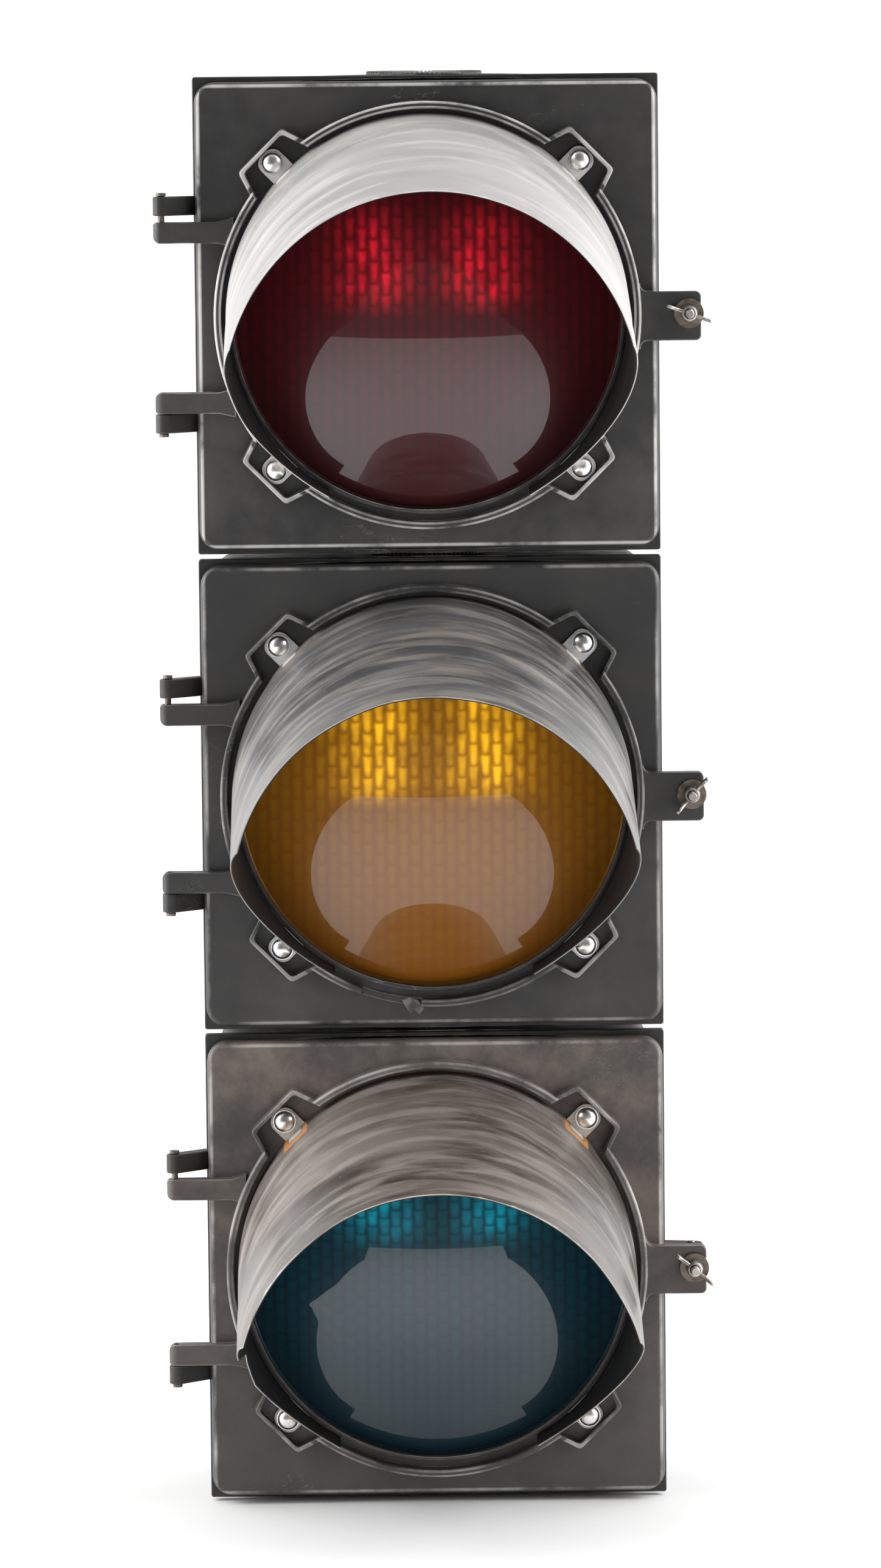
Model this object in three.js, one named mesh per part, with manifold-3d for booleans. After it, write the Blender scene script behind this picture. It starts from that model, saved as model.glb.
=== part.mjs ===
// Traffic signal head: three 12-inch sections, red over amber over green, stacked on their serrated rings.
// Each section is a housing shell, a hinged door with lens and visor, a swing-bolt latch and a lamp unit.
// Millimetres. +X is the latch side, -Y is the front, +Z is up.
// A section is drawn round its own centre, with the front of the housing flange at y = 0.
import * as THREE from 'three';
import { mergeVertices } from 'three/addons/utils/BufferGeometryUtils.js';
import Module from 'manifold-3d';

const wasm = await Module();
wasm.setup();

// ---------- driving dimensions ----------

const SECTION_PITCH = 355.6;
const SECTIONS = [
  { colour: 'green', level: 0, wingAngle: -40, lens: 0x0f4a55 },
  { colour: 'amber', level: 1, wingAngle: 48, lens: 0xc77a12 },
  { colour: 'red', level: 2, wingAngle: -20, lens: 0x5c0f14 },
];
const TOP_LEVEL = SECTIONS.length - 1;
const GAP = 0.3;
const HINGE_SIDE = -1;
const LATCH_SIDE = 1;

const FLANGE = { width: 342.9, height: 351.8, corner: 2, depth: 10 };
const SHELL = {
  width: 329, height: 347, corner: 16, crown: 3.3, wall: 3.2,
  rear: 150, rearRound: 12, draft: 3,
};
const WIRE_RING = { depth: 60, outer: 43, bore: 25.4, toothHeight: 1.5, inside: 169.5 };
const POST = { offset: 122, radius: 5, front: 11.4 };

const DOOR = {
  width: 339.9, height: 343.9, corner: 15, round: 4, wall: 3.5,
  back: -0.4, face: -15, opening: 143,
};
const RIM = { outer: 157.2, inner: 151.8, front: -27 };
const LIP = { outer: 145.8, front: -20 };
const LENS_SEAT = { inner: 153, outer: 156, front: -12.5, back: -2 };
const EAR = { reach: 172.5, halfTop: 22.5, halfFoot: 31, wall: 3.2, front: -25, foot: 146 };
const TAB_ANGLES = [45, 135, 225, 315];
const PAD = { centre: 159.5, radius: 9.5, front: -17 };

const PIN = { x: -195, y: -18, radius: 2.4, head: 3.6, headHeight: 2.5 };
const KNUCKLE = { radius: 6, inboard: -142 };
const DOOR_LUG = { centre: 62.5, height: 15.4 };
const BODY_LUG = { top: 75, bottom: -70.7, height: 14, footRear: 14 };

const LATCH = { x: 192, pivotY: 18, washerBack: -27.1, end: 201.2 };
const LATCH_LUG = { top: 16, bottom: -20, inboard: 153.4, front: -26, back: -14, slot: 6.5, corner: 4 };
const CLEVIS = { inner: 4, outer: 11, radius: 8.5, pinRadius: 2.8 };
const BOLT = { radius: 3.175, eye: 7.5, eyeHalf: 3.6, end: -46 };
const WASHER = { outer: 11, inner: 3.6, thickness: 1.6 };
const WING_NUT = { hub: 6.6, height: 8.5, bore: 3.5, span: 18, wingThickness: 2.4, wingHeight: 12.5 };

const LENS = { radius: 149.5, edge: 2.6, front: -9.6, bulge: 36, wall: 4, domeEdge: 141 };
const LENS_GASKET = { outer: 151.9, inner: 144.5, front: -12.2, back: -3.4, lip: 1.8 };
const DOOR_GASKET = { halfWidth: 165.2, halfHeight: 167.2, width: 3.6, corner: 11, front: -8, back: -0.6 };

const VISOR = {
  length: 238, drop: 50, base: -17.3, baseRadius: 148.6, frontRadius: 147.4, wall: 1.4,
  cutStart: 75, cutEnd: 150, lipDepth: 18,
  tabHalf: 10, tabEnd: 168.8, tabCorner: 8, topSteps: 14, cutSteps: 6,
};

const REFLECTOR = { vertex: 111, focal: 45.3, rim: 138, hole: 24, wall: 1.4, lip: 143, lipFront: 5 };
const HOLDER = { inner: 139.6, outer: 147, front: 7, back: 11, earHalf: 8, earReach: 180 };
const SOCKET = {
  front: 110.2, flangeBack: 112.4, flange: 30,
  barrel: 19, bore: 15.6, back: 134, floor: 130.6,
};
const LAMP = { focus: 66, bulb: 32, neck: 14.5, neckY: 100, base: 13, tip: 129.5, tipRadius: 5 };

const TERMINAL = { width: 96, height: 24, rear: 145.9, front: 130, z: -128, ways: 6, slot: 10, slotDepth: 6 };
const COUPLING = {
  floor: 8.7, plate: 38, bore: 14, thickness: 5,
  studCircle: 19.4, stud: 3.6, studReach: 34, hole: 4.2,
};
const LEAD = { radius: 2.5, sides: 8, steps: 18 };

const RING_SIDES = 32;
const INNER_SIDES = 20;
const SMALL_SIDES = 12;
const CORNER_STEPS = 2;

const FINISHES = {
  housing: { color: 0x2b2c2f, roughness: 0.5, metalness: 0 },
  door: { color: 0x333438, roughness: 0.42, metalness: 0 },
  visor: { color: 0xb9b5b0, roughness: 0.45, metalness: 0.6 },
  rubber: { color: 0x1a1a1a, roughness: 0.85, metalness: 0 },
  steel: { color: 0xb8b6b0, roughness: 0.28, metalness: 1 },
  reflector: { color: 0xd6d8da, roughness: 0.12, metalness: 1 },
  carrier: { color: 0x8f9193, roughness: 0.45, metalness: 1 },
  socket: { color: 0x6d5a45, roughness: 0.6, metalness: 0 },
  glass: { color: 0xe9ecec, roughness: 0.08, metalness: 0 },
  lead: { color: 0x3d3f42, roughness: 0.6, metalness: 0 },
};

const radians = THREE.MathUtils.degToRad;

// ---------- solids ----------

// Six times the volume inside a list of triangles, negative where they face inwards.
function signedVolume(positions, triangles) {
  const [a, b, c] = [new THREE.Vector3(), new THREE.Vector3(), new THREE.Vector3()];
  let total = 0;
  for (let i = 0; i < triangles.length; i += 3) {
    a.fromArray(positions, 3 * triangles[i]);
    b.fromArray(positions, 3 * triangles[i + 1]);
    c.fromArray(positions, 3 * triangles[i + 2]);
    total += a.dot(b.cross(c));
  }
  return total;
}

// Makes a closed three.js geometry into a solid that can be joined and cut.
function solid(geometry) {
  geometry.deleteAttribute('normal');
  geometry.deleteAttribute('uv');
  const merged = mergeVertices(geometry, 1e-3);
  const positions = merged.attributes.position.array;
  const corners = merged.index.array;
  const triangles = [];
  for (let i = 0; i < corners.length; i += 3) {
    const [a, b, c] = corners.subarray(i, i + 3);
    if (a !== b && b !== c && c !== a) triangles.push(a, b, c);
  }
  if (signedVolume(positions, triangles) < 0) triangles.reverse();
  return new wasm.Manifold(
    new wasm.Mesh({ numProp: 3, vertProperties: positions, triVerts: new Uint32Array(triangles) }),
  );
}

function geometryOf(shape) {
  const { vertProperties, triVerts } = shape.getMesh();
  const geometry = new THREE.BufferGeometry();
  geometry.setAttribute('position', new THREE.BufferAttribute(vertProperties, 3));
  geometry.setIndex(new THREE.BufferAttribute(triVerts, 1));
  geometry.computeVertexNormals();
  return geometry;
}

function joined(shapes) {
  return shapes.reduce((whole, shape) => whole.add(shape));
}

function without(shape, cuts) {
  return cuts.reduce((rest, cut) => rest.subtract(cut), shape);
}

function named(name, shape, finish) {
  const mesh = new THREE.Mesh(geometryOf(shape), new THREE.MeshStandardMaterial(finish));
  mesh.name = name;
  return mesh;
}

function polygon(points) {
  return new THREE.Shape(points.map(([x, y]) => new THREE.Vector2(x, y)));
}

function rectangle(x0, x1, z0, z1) {
  return polygon([[x0, z0], [x1, z0], [x1, z1], [x0, z1]]);
}

// An outline drawn in x and z, running from its back depth to its front depth.
function slab(shape, back, front, curveSegments = CORNER_STEPS) {
  const options = { depth: back - front, bevelEnabled: false, curveSegments };
  const geometry = new THREE.ExtrudeGeometry(shape, options);
  return solid(geometry.rotateX(Math.PI / 2).translate(0, back, 0));
}

// An outline drawn in x and y, standing from its bottom height to its top height.
function column(shape, bottom, top, curveSegments = CORNER_STEPS) {
  const options = { depth: top - bottom, bevelEnabled: false, curveSegments };
  return solid(new THREE.ExtrudeGeometry(shape, options).translate(0, 0, bottom));
}

// A profile of radius and depth turned about the y axis.
function turned(profile, sides = RING_SIDES) {
  return solid(new THREE.LatheGeometry(profile.map(([r, y]) => new THREE.Vector2(r, y)), sides));
}

// A ring of rectangular section about the y axis.
function ring(inner, outer, front, back, sides = RING_SIDES) {
  return turned([[inner, front], [outer, front], [outer, back], [inner, back], [inner, front]], sides);
}

// A plain round bar about the y axis.
function bar(radius, front, back, sides = SMALL_SIDES) {
  return turned([[0, front], [radius, front], [radius, back], [0, back]], sides);
}

// A plain round bar that stands upright.
function upright(radius, bottom, top, sides = SMALL_SIDES) {
  return bar(radius, bottom, top, sides).rotate([90, 0, 0]);
}

// Matching outlines, each at its own depth, joined into one closed skin.
function loft(outlines) {
  const size = outlines[0].points.length;
  const positions = outlines.flatMap(({ points, depth }) => points.flatMap((p) => [p.x, depth, p.y]));
  const triangles = [];
  for (let row = 0; row + 1 < outlines.length; row += 1) {
    for (let i = 0; i < size; i += 1) {
      const [a, b] = [row * size + i, row * size + ((i + 1) % size)];
      triangles.push(a, b, b + size, a, b + size, a + size);
    }
  }
  const cap = THREE.ShapeUtils.triangulateShape(outlines[0].points, []);
  const last = (outlines.length - 1) * size;
  for (const [a, b, c] of cap) triangles.push(c, b, a, last + a, last + b, last + c);
  const geometry = new THREE.BufferGeometry();
  geometry.setAttribute('position', new THREE.Float32BufferAttribute(positions, 3));
  geometry.setIndex(triangles);
  return solid(geometry);
}

// Carries an outline on to the mirrored end of a top or bottom edge, bowed outwards by the crown.
function bowedEdge(shape, x, z, crown) {
  const shares = crown ? [0.5, 0, -0.5] : [];
  for (const share of shares) shape.lineTo(x * share, z + crown * (1 - share * share));
  shape.lineTo(-x, z);
}

// A rounded rectangle whose top and bottom edges may bow outwards by the crown.
function panelOutline(width, height, corner, crown = 0) {
  const [x, z, r] = [width / 2, height / 2, corner];
  const shape = new THREE.Shape();
  shape.moveTo(x, -z + r);
  shape.lineTo(x, z - r);
  shape.absarc(x - r, z - r, r, 0, Math.PI / 2);
  bowedEdge(shape, x - r, z, crown);
  shape.absarc(-x + r, z - r, r, Math.PI / 2, Math.PI);
  shape.lineTo(-x, -z + r);
  shape.absarc(-x + r, -z + r, r, Math.PI, 1.5 * Math.PI);
  bowedEdge(shape, r - x, -z, -crown);
  shape.absarc(x - r, -z + r, r, 1.5 * Math.PI, 2 * Math.PI);
  return shape;
}

function panelPoints(width, height, corner, crown) {
  const points = panelOutline(width, height, corner, crown).getPoints(CORNER_STEPS);
  return points.slice(0, -1);
}

// ---------- housing ----------

// The deep box of a housing, drawn in and rounded off towards the rear; inset makes its cavity.
function shellBox(front, inset) {
  const width = SHELL.width - 2 * inset;
  const height = SHELL.height - 2 * inset;
  const rear = SHELL.rear - inset;
  const round = SHELL.rearRound - inset;
  const outlines = [{ points: panelPoints(width, height, SHELL.corner - inset, SHELL.crown), depth: front }];
  for (const angle of [0, 45, 90]) {
    const shrink = 2 * (SHELL.draft + round * (1 - Math.cos(radians(angle))));
    const points = panelPoints(width - shrink, height - shrink, SHELL.corner - inset, SHELL.crown);
    outlines.push({ points, depth: rear - round + round * Math.sin(radians(angle)) });
  }
  return loft(outlines);
}

// The round seat of a wire entrance on the top of a housing. A bare one stands as high as its teeth,
// and the two that meet between housings sink their teeth into each other.
function wireRing(bare) {
  const top = SECTION_PITCH / 2 + (bare ? WIRE_RING.toothHeight : -GAP) / 2;
  const seat = upright(WIRE_RING.outer, WIRE_RING.inside, top, INNER_SIDES);
  const bore = upright(WIRE_RING.bore, 0, SECTION_PITCH, INNER_SIDES);
  return seat.subtract(bore).translate([0, WIRE_RING.depth, 0]);
}

function upsideDown(shape) {
  return shape.mirror([0, 0, 1]);
}

// A lug in plan: a foot on the side of the housing that runs out to a round end about a pin.
function lugPlan(side, pinX, pinY, radius, footFront, footRear) {
  const foot = side * (SHELL.width / 2 - SHELL.wall / 2);
  const shape = new THREE.Shape();
  const lean = Math.atan2((footFront + footRear) / 2 - pinY, foot - pinX);
  shape.moveTo(foot, footFront);
  shape.absarc(pinX, pinY, radius, lean + side * (Math.PI / 2), lean - side * (Math.PI / 2), side < 0);
  shape.lineTo(foot, footRear);
  return shape;
}

// Two lugs on the hinge side, above and below the lugs of the door.
function hingeLugs() {
  const plan = lugPlan(HINGE_SIDE, PIN.x, PIN.y, KNUCKLE.radius, 0.5, BODY_LUG.footRear);
  const upper = column(plan, BODY_LUG.top, BODY_LUG.top + BODY_LUG.height);
  const lower = column(plan, BODY_LUG.bottom - BODY_LUG.height, BODY_LUG.bottom);
  return without(upper.add(lower), [pinHole(PIN.x, PIN.y, PIN.radius + GAP)]);
}

function pinHole(x, y, radius) {
  return upright(radius, -SECTION_PITCH / 2, SECTION_PITCH / 2).translate([x, y, 0]);
}

// The forked lug on the latch side that holds the eye of the swing bolt.
function clevis() {
  const plan = lugPlan(LATCH_SIDE, LATCH.x, LATCH.pivotY, CLEVIS.radius, 4, 2 * LATCH.pivotY - 4);
  const upper = column(plan, CLEVIS.inner, CLEVIS.outer);
  const fork = upper.add(upsideDown(upper));
  return without(fork, [pinHole(LATCH.x, LATCH.pivotY, CLEVIS.pinRadius + GAP)]);
}

// The four posts inside the housing that carry the reflector holder.
function holderPosts() {
  const posts = [];
  for (const x of [-POST.offset, POST.offset]) {
    for (const z of [-POST.offset, POST.offset]) {
      posts.push(bar(POST.radius, POST.front, SHELL.rear - SHELL.wall / 2, 8).translate([x, 0, z]));
    }
  }
  return joined(posts);
}

function housing({ level }) {
  const flange = slab(panelOutline(FLANGE.width, FLANGE.height, FLANGE.corner), FLANGE.depth, 0);
  const skin = joined([flange, shellBox(FLANGE.depth / 2, 0), hingeLugs(), clevis()]);
  const bore = upright(WIRE_RING.bore, -SECTION_PITCH, SECTION_PITCH, INNER_SIDES);
  const entrance = bore.translate([0, WIRE_RING.depth, 0]);
  const hollow = without(skin, [shellBox(-FLANGE.depth, SHELL.wall), entrance]);
  const top = wireRing(level === TOP_LEVEL);
  const bottom = upsideDown(wireRing(level === 0));
  return joined([hollow, top, bottom, holderPosts()]);
}

// ---------- door ----------

// The door's flat panel, with its front edge rounded over.
function doorPanel() {
  const outlines = [{ points: panelPoints(DOOR.width, DOOR.height, DOOR.corner), depth: DOOR.back }];
  for (const angle of [0, 45, 90]) {
    const shrink = 2 * DOOR.round * (1 - Math.cos(radians(angle)));
    const points = panelPoints(DOOR.width - shrink, DOOR.height - shrink, DOOR.corner - shrink / 2);
    outlines.push({ points, depth: DOOR.face + DOOR.round * (1 - Math.sin(radians(angle))) });
  }
  return loft(outlines);
}

// The four raised ears at the corners of the rim, shrunk by inset for the pockets inside them.
function ears(inset, front) {
  const top = EAR.reach - inset;
  const outline = polygon([
    [-EAR.halfFoot + inset, EAR.foot], [EAR.halfFoot - inset, EAR.foot],
    [EAR.halfTop - 0.8 * inset, top], [-EAR.halfTop + 0.8 * inset, top],
  ]);
  const ear = slab(outline, DOOR.face + (inset ? 0 : 1), front);
  return joined(TAB_ANGLES.map((angle) => ear.rotate([0, angle, 0])));
}

// The raised rim round the lens, with its ears and the pads that the visor's tabs are screwed to.
function doorRim() {
  const face = DOOR.face + 1;
  const wall = bar(RIM.outer, RIM.front, face, RING_SIDES).add(ears(0, EAR.front));
  const groove = bar(RIM.inner, RIM.front - 1, DOOR.face, RING_SIDES).add(ears(EAR.wall, RIM.front - 1));
  const pad = bar(PAD.radius, PAD.front, face, 8).translate([0, 0, PAD.centre]);
  const pads = joined(TAB_ANGLES.map((angle) => pad.rotate([0, angle, 0])));
  const lip = bar(LIP.outer, LIP.front, face, RING_SIDES);
  return wall.subtract(groove).add(pads).add(lip);
}

// The two lugs of the door on the hinge side, each with a hole for its pin.
function doorHingeLugs() {
  const shape = new THREE.Shape();
  shape.moveTo(KNUCKLE.inboard, PIN.y - KNUCKLE.radius);
  shape.lineTo(KNUCKLE.inboard, PIN.y + KNUCKLE.radius);
  shape.lineTo(PIN.x, PIN.y + KNUCKLE.radius);
  shape.absarc(PIN.x, PIN.y, KNUCKLE.radius, Math.PI / 2, 1.5 * Math.PI);
  const half = DOOR_LUG.height / 2;
  const upper = column(shape, DOOR_LUG.centre - half, DOOR_LUG.centre + half);
  return upper.add(upsideDown(upper)).subtract(pinHole(PIN.x, PIN.y, PIN.radius + GAP));
}

// The lug on the latch side, with the slot that the swing bolt drops into.
function doorLatchLug() {
  const { top, bottom, inboard, front, back, slot, corner } = LATCH_LUG;
  const shape = new THREE.Shape();
  shape.moveTo(inboard, bottom);
  shape.lineTo(LATCH.end - corner, bottom);
  shape.absarc(LATCH.end - corner, bottom + corner, corner, -Math.PI / 2, 0);
  shape.lineTo(LATCH.end, -slot);
  shape.lineTo(LATCH.x, -slot);
  shape.absarc(LATCH.x, 0, slot, -Math.PI / 2, Math.PI / 2, true);
  shape.lineTo(LATCH.end, slot);
  shape.absarc(LATCH.end - corner, top - corner, corner, 0, Math.PI / 2);
  shape.lineTo(inboard, top);
  return slab(shape, back, front);
}

function door() {
  const outer = joined([doorPanel(), doorRim(), doorHingeLugs(), doorLatchLug()]);
  const floor = DOOR.face + DOOR.wall;
  const pan = panelOutline(DOOR.width - 2 * DOOR.wall, DOOR.height - 2 * DOOR.wall, DOOR.corner - DOOR.wall);
  const seat = bar(LENS_SEAT.outer, DOOR.face, LENS_SEAT.back, RING_SIDES);
  const pocket = slab(pan, 1, floor).subtract(bar(LENS_SEAT.outer, DOOR.face - 1, 2, RING_SIDES));
  const well = bar(LENS_SEAT.inner, LENS_SEAT.front, 1, RING_SIDES);
  const opening = bar(DOOR.opening, RIM.front - 1, 1, RING_SIDES);
  const aboveSeat = ring(LENS_SEAT.inner - 1, LENS_SEAT.outer + 1, LENS_SEAT.back, 1);
  return without(outer.add(seat), [pocket, well, aboveSeat, opening]);
}

function doorGasket() {
  const { halfWidth, halfHeight, width, corner, front, back } = DOOR_GASKET;
  const outer = panelOutline(2 * halfWidth, 2 * halfHeight, corner);
  const inner = panelOutline(2 * (halfWidth - width), 2 * (halfHeight - width), corner - width);
  return slab(outer, back, front).subtract(slab(inner, back + 1, front - 1));
}

// ---------- lens and visor ----------

// A bowed disc whose flat edge sits in the rubber channel.
function lens() {
  const { radius, edge, front, bulge, wall, domeEdge } = LENS;
  const domeSteps = 3;
  const outside = [];
  const inside = [];
  for (let i = 0; i <= domeSteps; i += 1) {
    const share = i / domeSteps;
    outside.push([domeEdge * share, front - bulge * (1 - share * share)]);
    inside.push([(domeEdge - wall) * share, front + wall - bulge * (1 - share * share)]);
  }
  const rim = [[radius, front], [radius, front + edge], [domeEdge, front + edge]];
  return turned([...outside, ...rim, ...inside.reverse()], INNER_SIDES);
}

// The rubber channel, a U section that opens towards the centre and grips the lens edge.
function lensGasket() {
  const { outer, inner, front, back, lip } = LENS_GASKET;
  const slot = ring(inner - 1, outer - lip, LENS.front - GAP, LENS.front + LENS.edge + GAP, INNER_SIDES);
  return ring(inner, outer, front, back, INNER_SIDES).subtract(slot);
}

// How far a visor reaches forwards at an angle from its top: full length, then cut away to a narrow lip.
function visorReach(angle) {
  const { cutStart, cutEnd, length, lipDepth } = VISOR;
  const left = Math.min(1, (cutEnd - Math.abs(angle)) / (cutEnd - cutStart));
  return lipDepth + (length - lipDepth) * left * left;
}

// A point on the visor's sheet. The sheet tapers a little and slopes down towards the front.
function visorPoint(angle, reach, inset) {
  const share = reach / VISOR.length;
  const radius = VISOR.baseRadius + (VISOR.frontRadius - VISOR.baseRadius) * share - inset;
  const turnAngle = radians(angle);
  const height = radius * Math.cos(turnAngle) - VISOR.drop * share;
  return [radius * Math.sin(turnAngle), VISOR.base - reach, height];
}

function visorSheet() {
  const { cutStart, cutEnd, wall, topSteps, cutSteps } = VISOR;
  const angles = [];
  for (let i = 0; i < cutSteps; i += 1) angles.push(-cutEnd + ((cutEnd - cutStart) * i) / cutSteps);
  for (let i = 0; i <= topSteps; i += 1) angles.push(-cutStart + (2 * cutStart * i) / topSteps);
  for (let i = 1; i <= cutSteps; i += 1) angles.push(cutStart + ((cutEnd - cutStart) * i) / cutSteps);
  const positions = [];
  for (const angle of angles) {
    const reach = visorReach(angle);
    positions.push(...visorPoint(angle, 0, 0), ...visorPoint(angle, reach, 0));
    positions.push(...visorPoint(angle, reach, wall), ...visorPoint(angle, 0, wall));
  }
  const triangles = [0, 1, 2, 0, 2, 3];
  for (let i = 0; i + 1 < angles.length; i += 1) {
    for (let side = 0; side < 4; side += 1) {
      const [a, b] = [4 * i + side, 4 * i + ((side + 1) % 4)];
      triangles.push(a, a + 4, b + 4, a, b + 4, b);
    }
  }
  const last = 4 * (angles.length - 1);
  triangles.push(last, last + 2, last + 1, last, last + 3, last + 2);
  const geometry = new THREE.BufferGeometry();
  geometry.setAttribute('position', new THREE.Float32BufferAttribute(positions, 3));
  geometry.setIndex(triangles);
  return solid(geometry);
}

// The four feet bent out from the visor's base, which lie on the pads of the door.
function visorTabs() {
  const { tabHalf, tabEnd, tabCorner, baseRadius, wall, base } = VISOR;
  const shape = new THREE.Shape();
  shape.moveTo(-tabHalf, baseRadius - 1.2 * wall);
  shape.lineTo(tabHalf, baseRadius - 1.2 * wall);
  shape.lineTo(tabHalf, tabEnd - tabCorner);
  shape.absarc(tabHalf - tabCorner, tabEnd - tabCorner, tabCorner, 0, Math.PI / 2);
  shape.absarc(-tabHalf + tabCorner, tabEnd - tabCorner, tabCorner, Math.PI / 2, Math.PI);
  const tab = slab(shape, base, base - wall);
  return joined(TAB_ANGLES.map((angle) => tab.rotate([0, angle, 0])));
}

function visor() {
  return visorSheet().add(visorTabs());
}

// ---------- hinge pins and latch ----------

// A headed pin that stands in a lug of the housing and a lug of the door.
function hingePin(low, high) {
  const shank = upright(PIN.radius, low, high);
  return shank.add(upright(PIN.head, high, high + PIN.headHeight)).translate([PIN.x, PIN.y, 0]);
}

function upperPin() {
  const top = BODY_LUG.top + BODY_LUG.height;
  return hingePin(DOOR_LUG.centre - DOOR_LUG.height / 2 + 1, top + GAP);
}

function lowerPin() {
  const bottom = BODY_LUG.height - BODY_LUG.bottom;
  return upsideDown(hingePin(DOOR_LUG.centre - DOOR_LUG.height / 2 + 1, bottom + GAP));
}

function latchPin() {
  const reach = CLEVIS.outer + 1.5;
  return upright(CLEVIS.pinRadius, -reach, reach).translate([LATCH.x, LATCH.pivotY, 0]);
}

// The swing bolt: a flat eye round the latch pin and a straight shank through the door's slot.
function eyebolt() {
  const eye = upright(BOLT.eye, -BOLT.eyeHalf, BOLT.eyeHalf).translate([0, LATCH.pivotY, 0]);
  const shank = bar(BOLT.radius, BOLT.end, LATCH.pivotY - BOLT.eye / 2);
  const whole = eye.add(shank).translate([LATCH.x, 0, 0]);
  return whole.subtract(pinHole(LATCH.x, LATCH.pivotY, CLEVIS.pinRadius + GAP));
}

function latchWasher() {
  const { inner, outer, thickness } = WASHER;
  const back = LATCH.washerBack;
  return ring(inner, outer, back - thickness, back, SMALL_SIDES).translate([LATCH.x, 0, 0]);
}

// A tapered hub with two upswept wings, turned to the angle that it was left at.
function wingNut(wingAngle) {
  const back = LATCH.washerBack - WASHER.thickness - GAP;
  const { hub, height, bore, span, wingThickness, wingHeight } = WING_NUT;
  const core = turned([[0, back - height], [hub - 1, back - height], [hub, back], [0, back]], SMALL_SIDES);
  const wingShape = new THREE.Shape();
  wingShape.moveTo(hub - 1.5, back - 2);
  wingShape.lineTo(hub + 2, back - 2);
  wingShape.quadraticCurveTo(span - 2, back - 4, span, back - wingHeight + 3);
  wingShape.quadraticCurveTo(span - 0.5, back - wingHeight, span - 4, back - wingHeight);
  wingShape.quadraticCurveTo(hub + 2, back - height, hub - 1.5, back - height + 1);
  const wing = column(wingShape, -wingThickness / 2, wingThickness / 2);
  const body = joined([core, wing, wing.mirror([1, 0, 0])]);
  const nut = body.subtract(bar(bore, back - 2 * height, back + 1));
  return nut.rotate([0, -wingAngle, 0]).translate([LATCH.x, 0, 0]);
}

// ---------- lamp unit ----------

function bowlDepth(radius) {
  return REFLECTOR.vertex - (radius * radius) / (4 * REFLECTOR.focal);
}

// A parabolic bowl with a hole for the lamp and a flat lip at its rim.
function reflector() {
  const { rim, hole, wall, lip, lipFront } = REFLECTOR;
  const steps = 3;
  const inside = [];
  const outside = [];
  for (let i = 0; i <= steps; i += 1) {
    const radius = hole + ((rim - hole) * i) / steps;
    inside.push([radius, bowlDepth(radius)]);
    const slope = radius / (2 * REFLECTOR.focal);
    const scale = wall / Math.hypot(1, slope);
    outside.push([radius + scale * slope, bowlDepth(radius) + scale]);
  }
  outside[steps][1] = lipFront + wall;
  return turned([...inside, [rim, lipFront], [lip, lipFront], [lip, lipFront + wall],
    ...outside.reverse(), inside[0]], INNER_SIDES);
}

// The ring behind the reflector's lip, with four ears that rest on the housing's posts.
function reflectorHolder() {
  const { inner, outer, front, back, earHalf, earReach } = HOLDER;
  const ear = slab(rectangle(-earHalf, earHalf, outer - 3, earReach), back, front);
  const arms = TAB_ANGLES.map((angle) => ear.rotate([0, angle, 0]));
  return ring(inner, outer, front, back, INNER_SIDES).add(joined(arms));
}

function lampSocket() {
  const { front, flangeBack, flange, barrel, bore, back, floor } = SOCKET;
  return turned([
    [bore, front], [flange, front], [flange, flangeBack], [barrel, flangeBack],
    [barrel, back], [0, back], [0, floor], [bore, floor], [bore, front],
  ], SMALL_SIDES);
}

// A pear-shaped bulb that narrows to its screw base.
function lamp() {
  const { focus, bulb, neck, neckY, base, tip, tipRadius } = LAMP;
  const profile = [];
  for (const angle of [0, 40, 80, 110, 140]) {
    profile.push([bulb * Math.sin(radians(angle)), focus - bulb * Math.cos(radians(angle))]);
  }
  profile.push([neck, neckY], [base, neckY + 3], [base, tip - 5], [tipRadius, tip], [0, tip]);
  return turned(profile, SMALL_SIDES);
}

// ---------- wiring and section couplings ----------

function terminalBlock() {
  const { width, height, rear, front, z, ways, slot, slotDepth } = TERMINAL;
  const block = slab(rectangle(-width / 2, width / 2, z - height / 2, z + height / 2), rear, front);
  const slots = [];
  for (let way = 0; way < ways; way += 1) {
    const x = (way - (ways - 1) / 2) * (width / ways);
    const outline = rectangle(x - slot / 2, x + slot / 2, z - height, z + height);
    slots.push(slab(outline, front + slotDepth, front - 1));
  }
  return without(block, slots);
}

function studPoints() {
  return [90, 210, 330].map((angle) => {
    const turnAngle = radians(angle);
    return [COUPLING.studCircle * Math.cos(turnAngle), COUPLING.studCircle * Math.sin(turnAngle)];
  });
}

// A plate on the floor of a housing, drawn round the joint with the housing below.
function couplingPlate(holed) {
  const floor = COUPLING.floor;
  const plate = upright(COUPLING.plate, floor, floor + COUPLING.thickness, INNER_SIDES);
  const cuts = [upright(COUPLING.bore, 0, 2 * floor + COUPLING.thickness)];
  if (holed) {
    const hole = upright(COUPLING.hole, 0, 2 * floor + COUPLING.thickness, 8);
    cuts.push(...studPoints().map(([x, y]) => hole.translate([x, y, 0])));
  }
  return without(plate, cuts);
}

function couplingStuds() {
  const { floor, thickness, studReach } = COUPLING;
  const stud = upright(COUPLING.stud, floor + thickness - studReach, floor + 1, 8);
  return couplingPlate(false).add(joined(studPoints().map(([x, y]) => stud.translate([x, y, 0]))));
}

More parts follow.
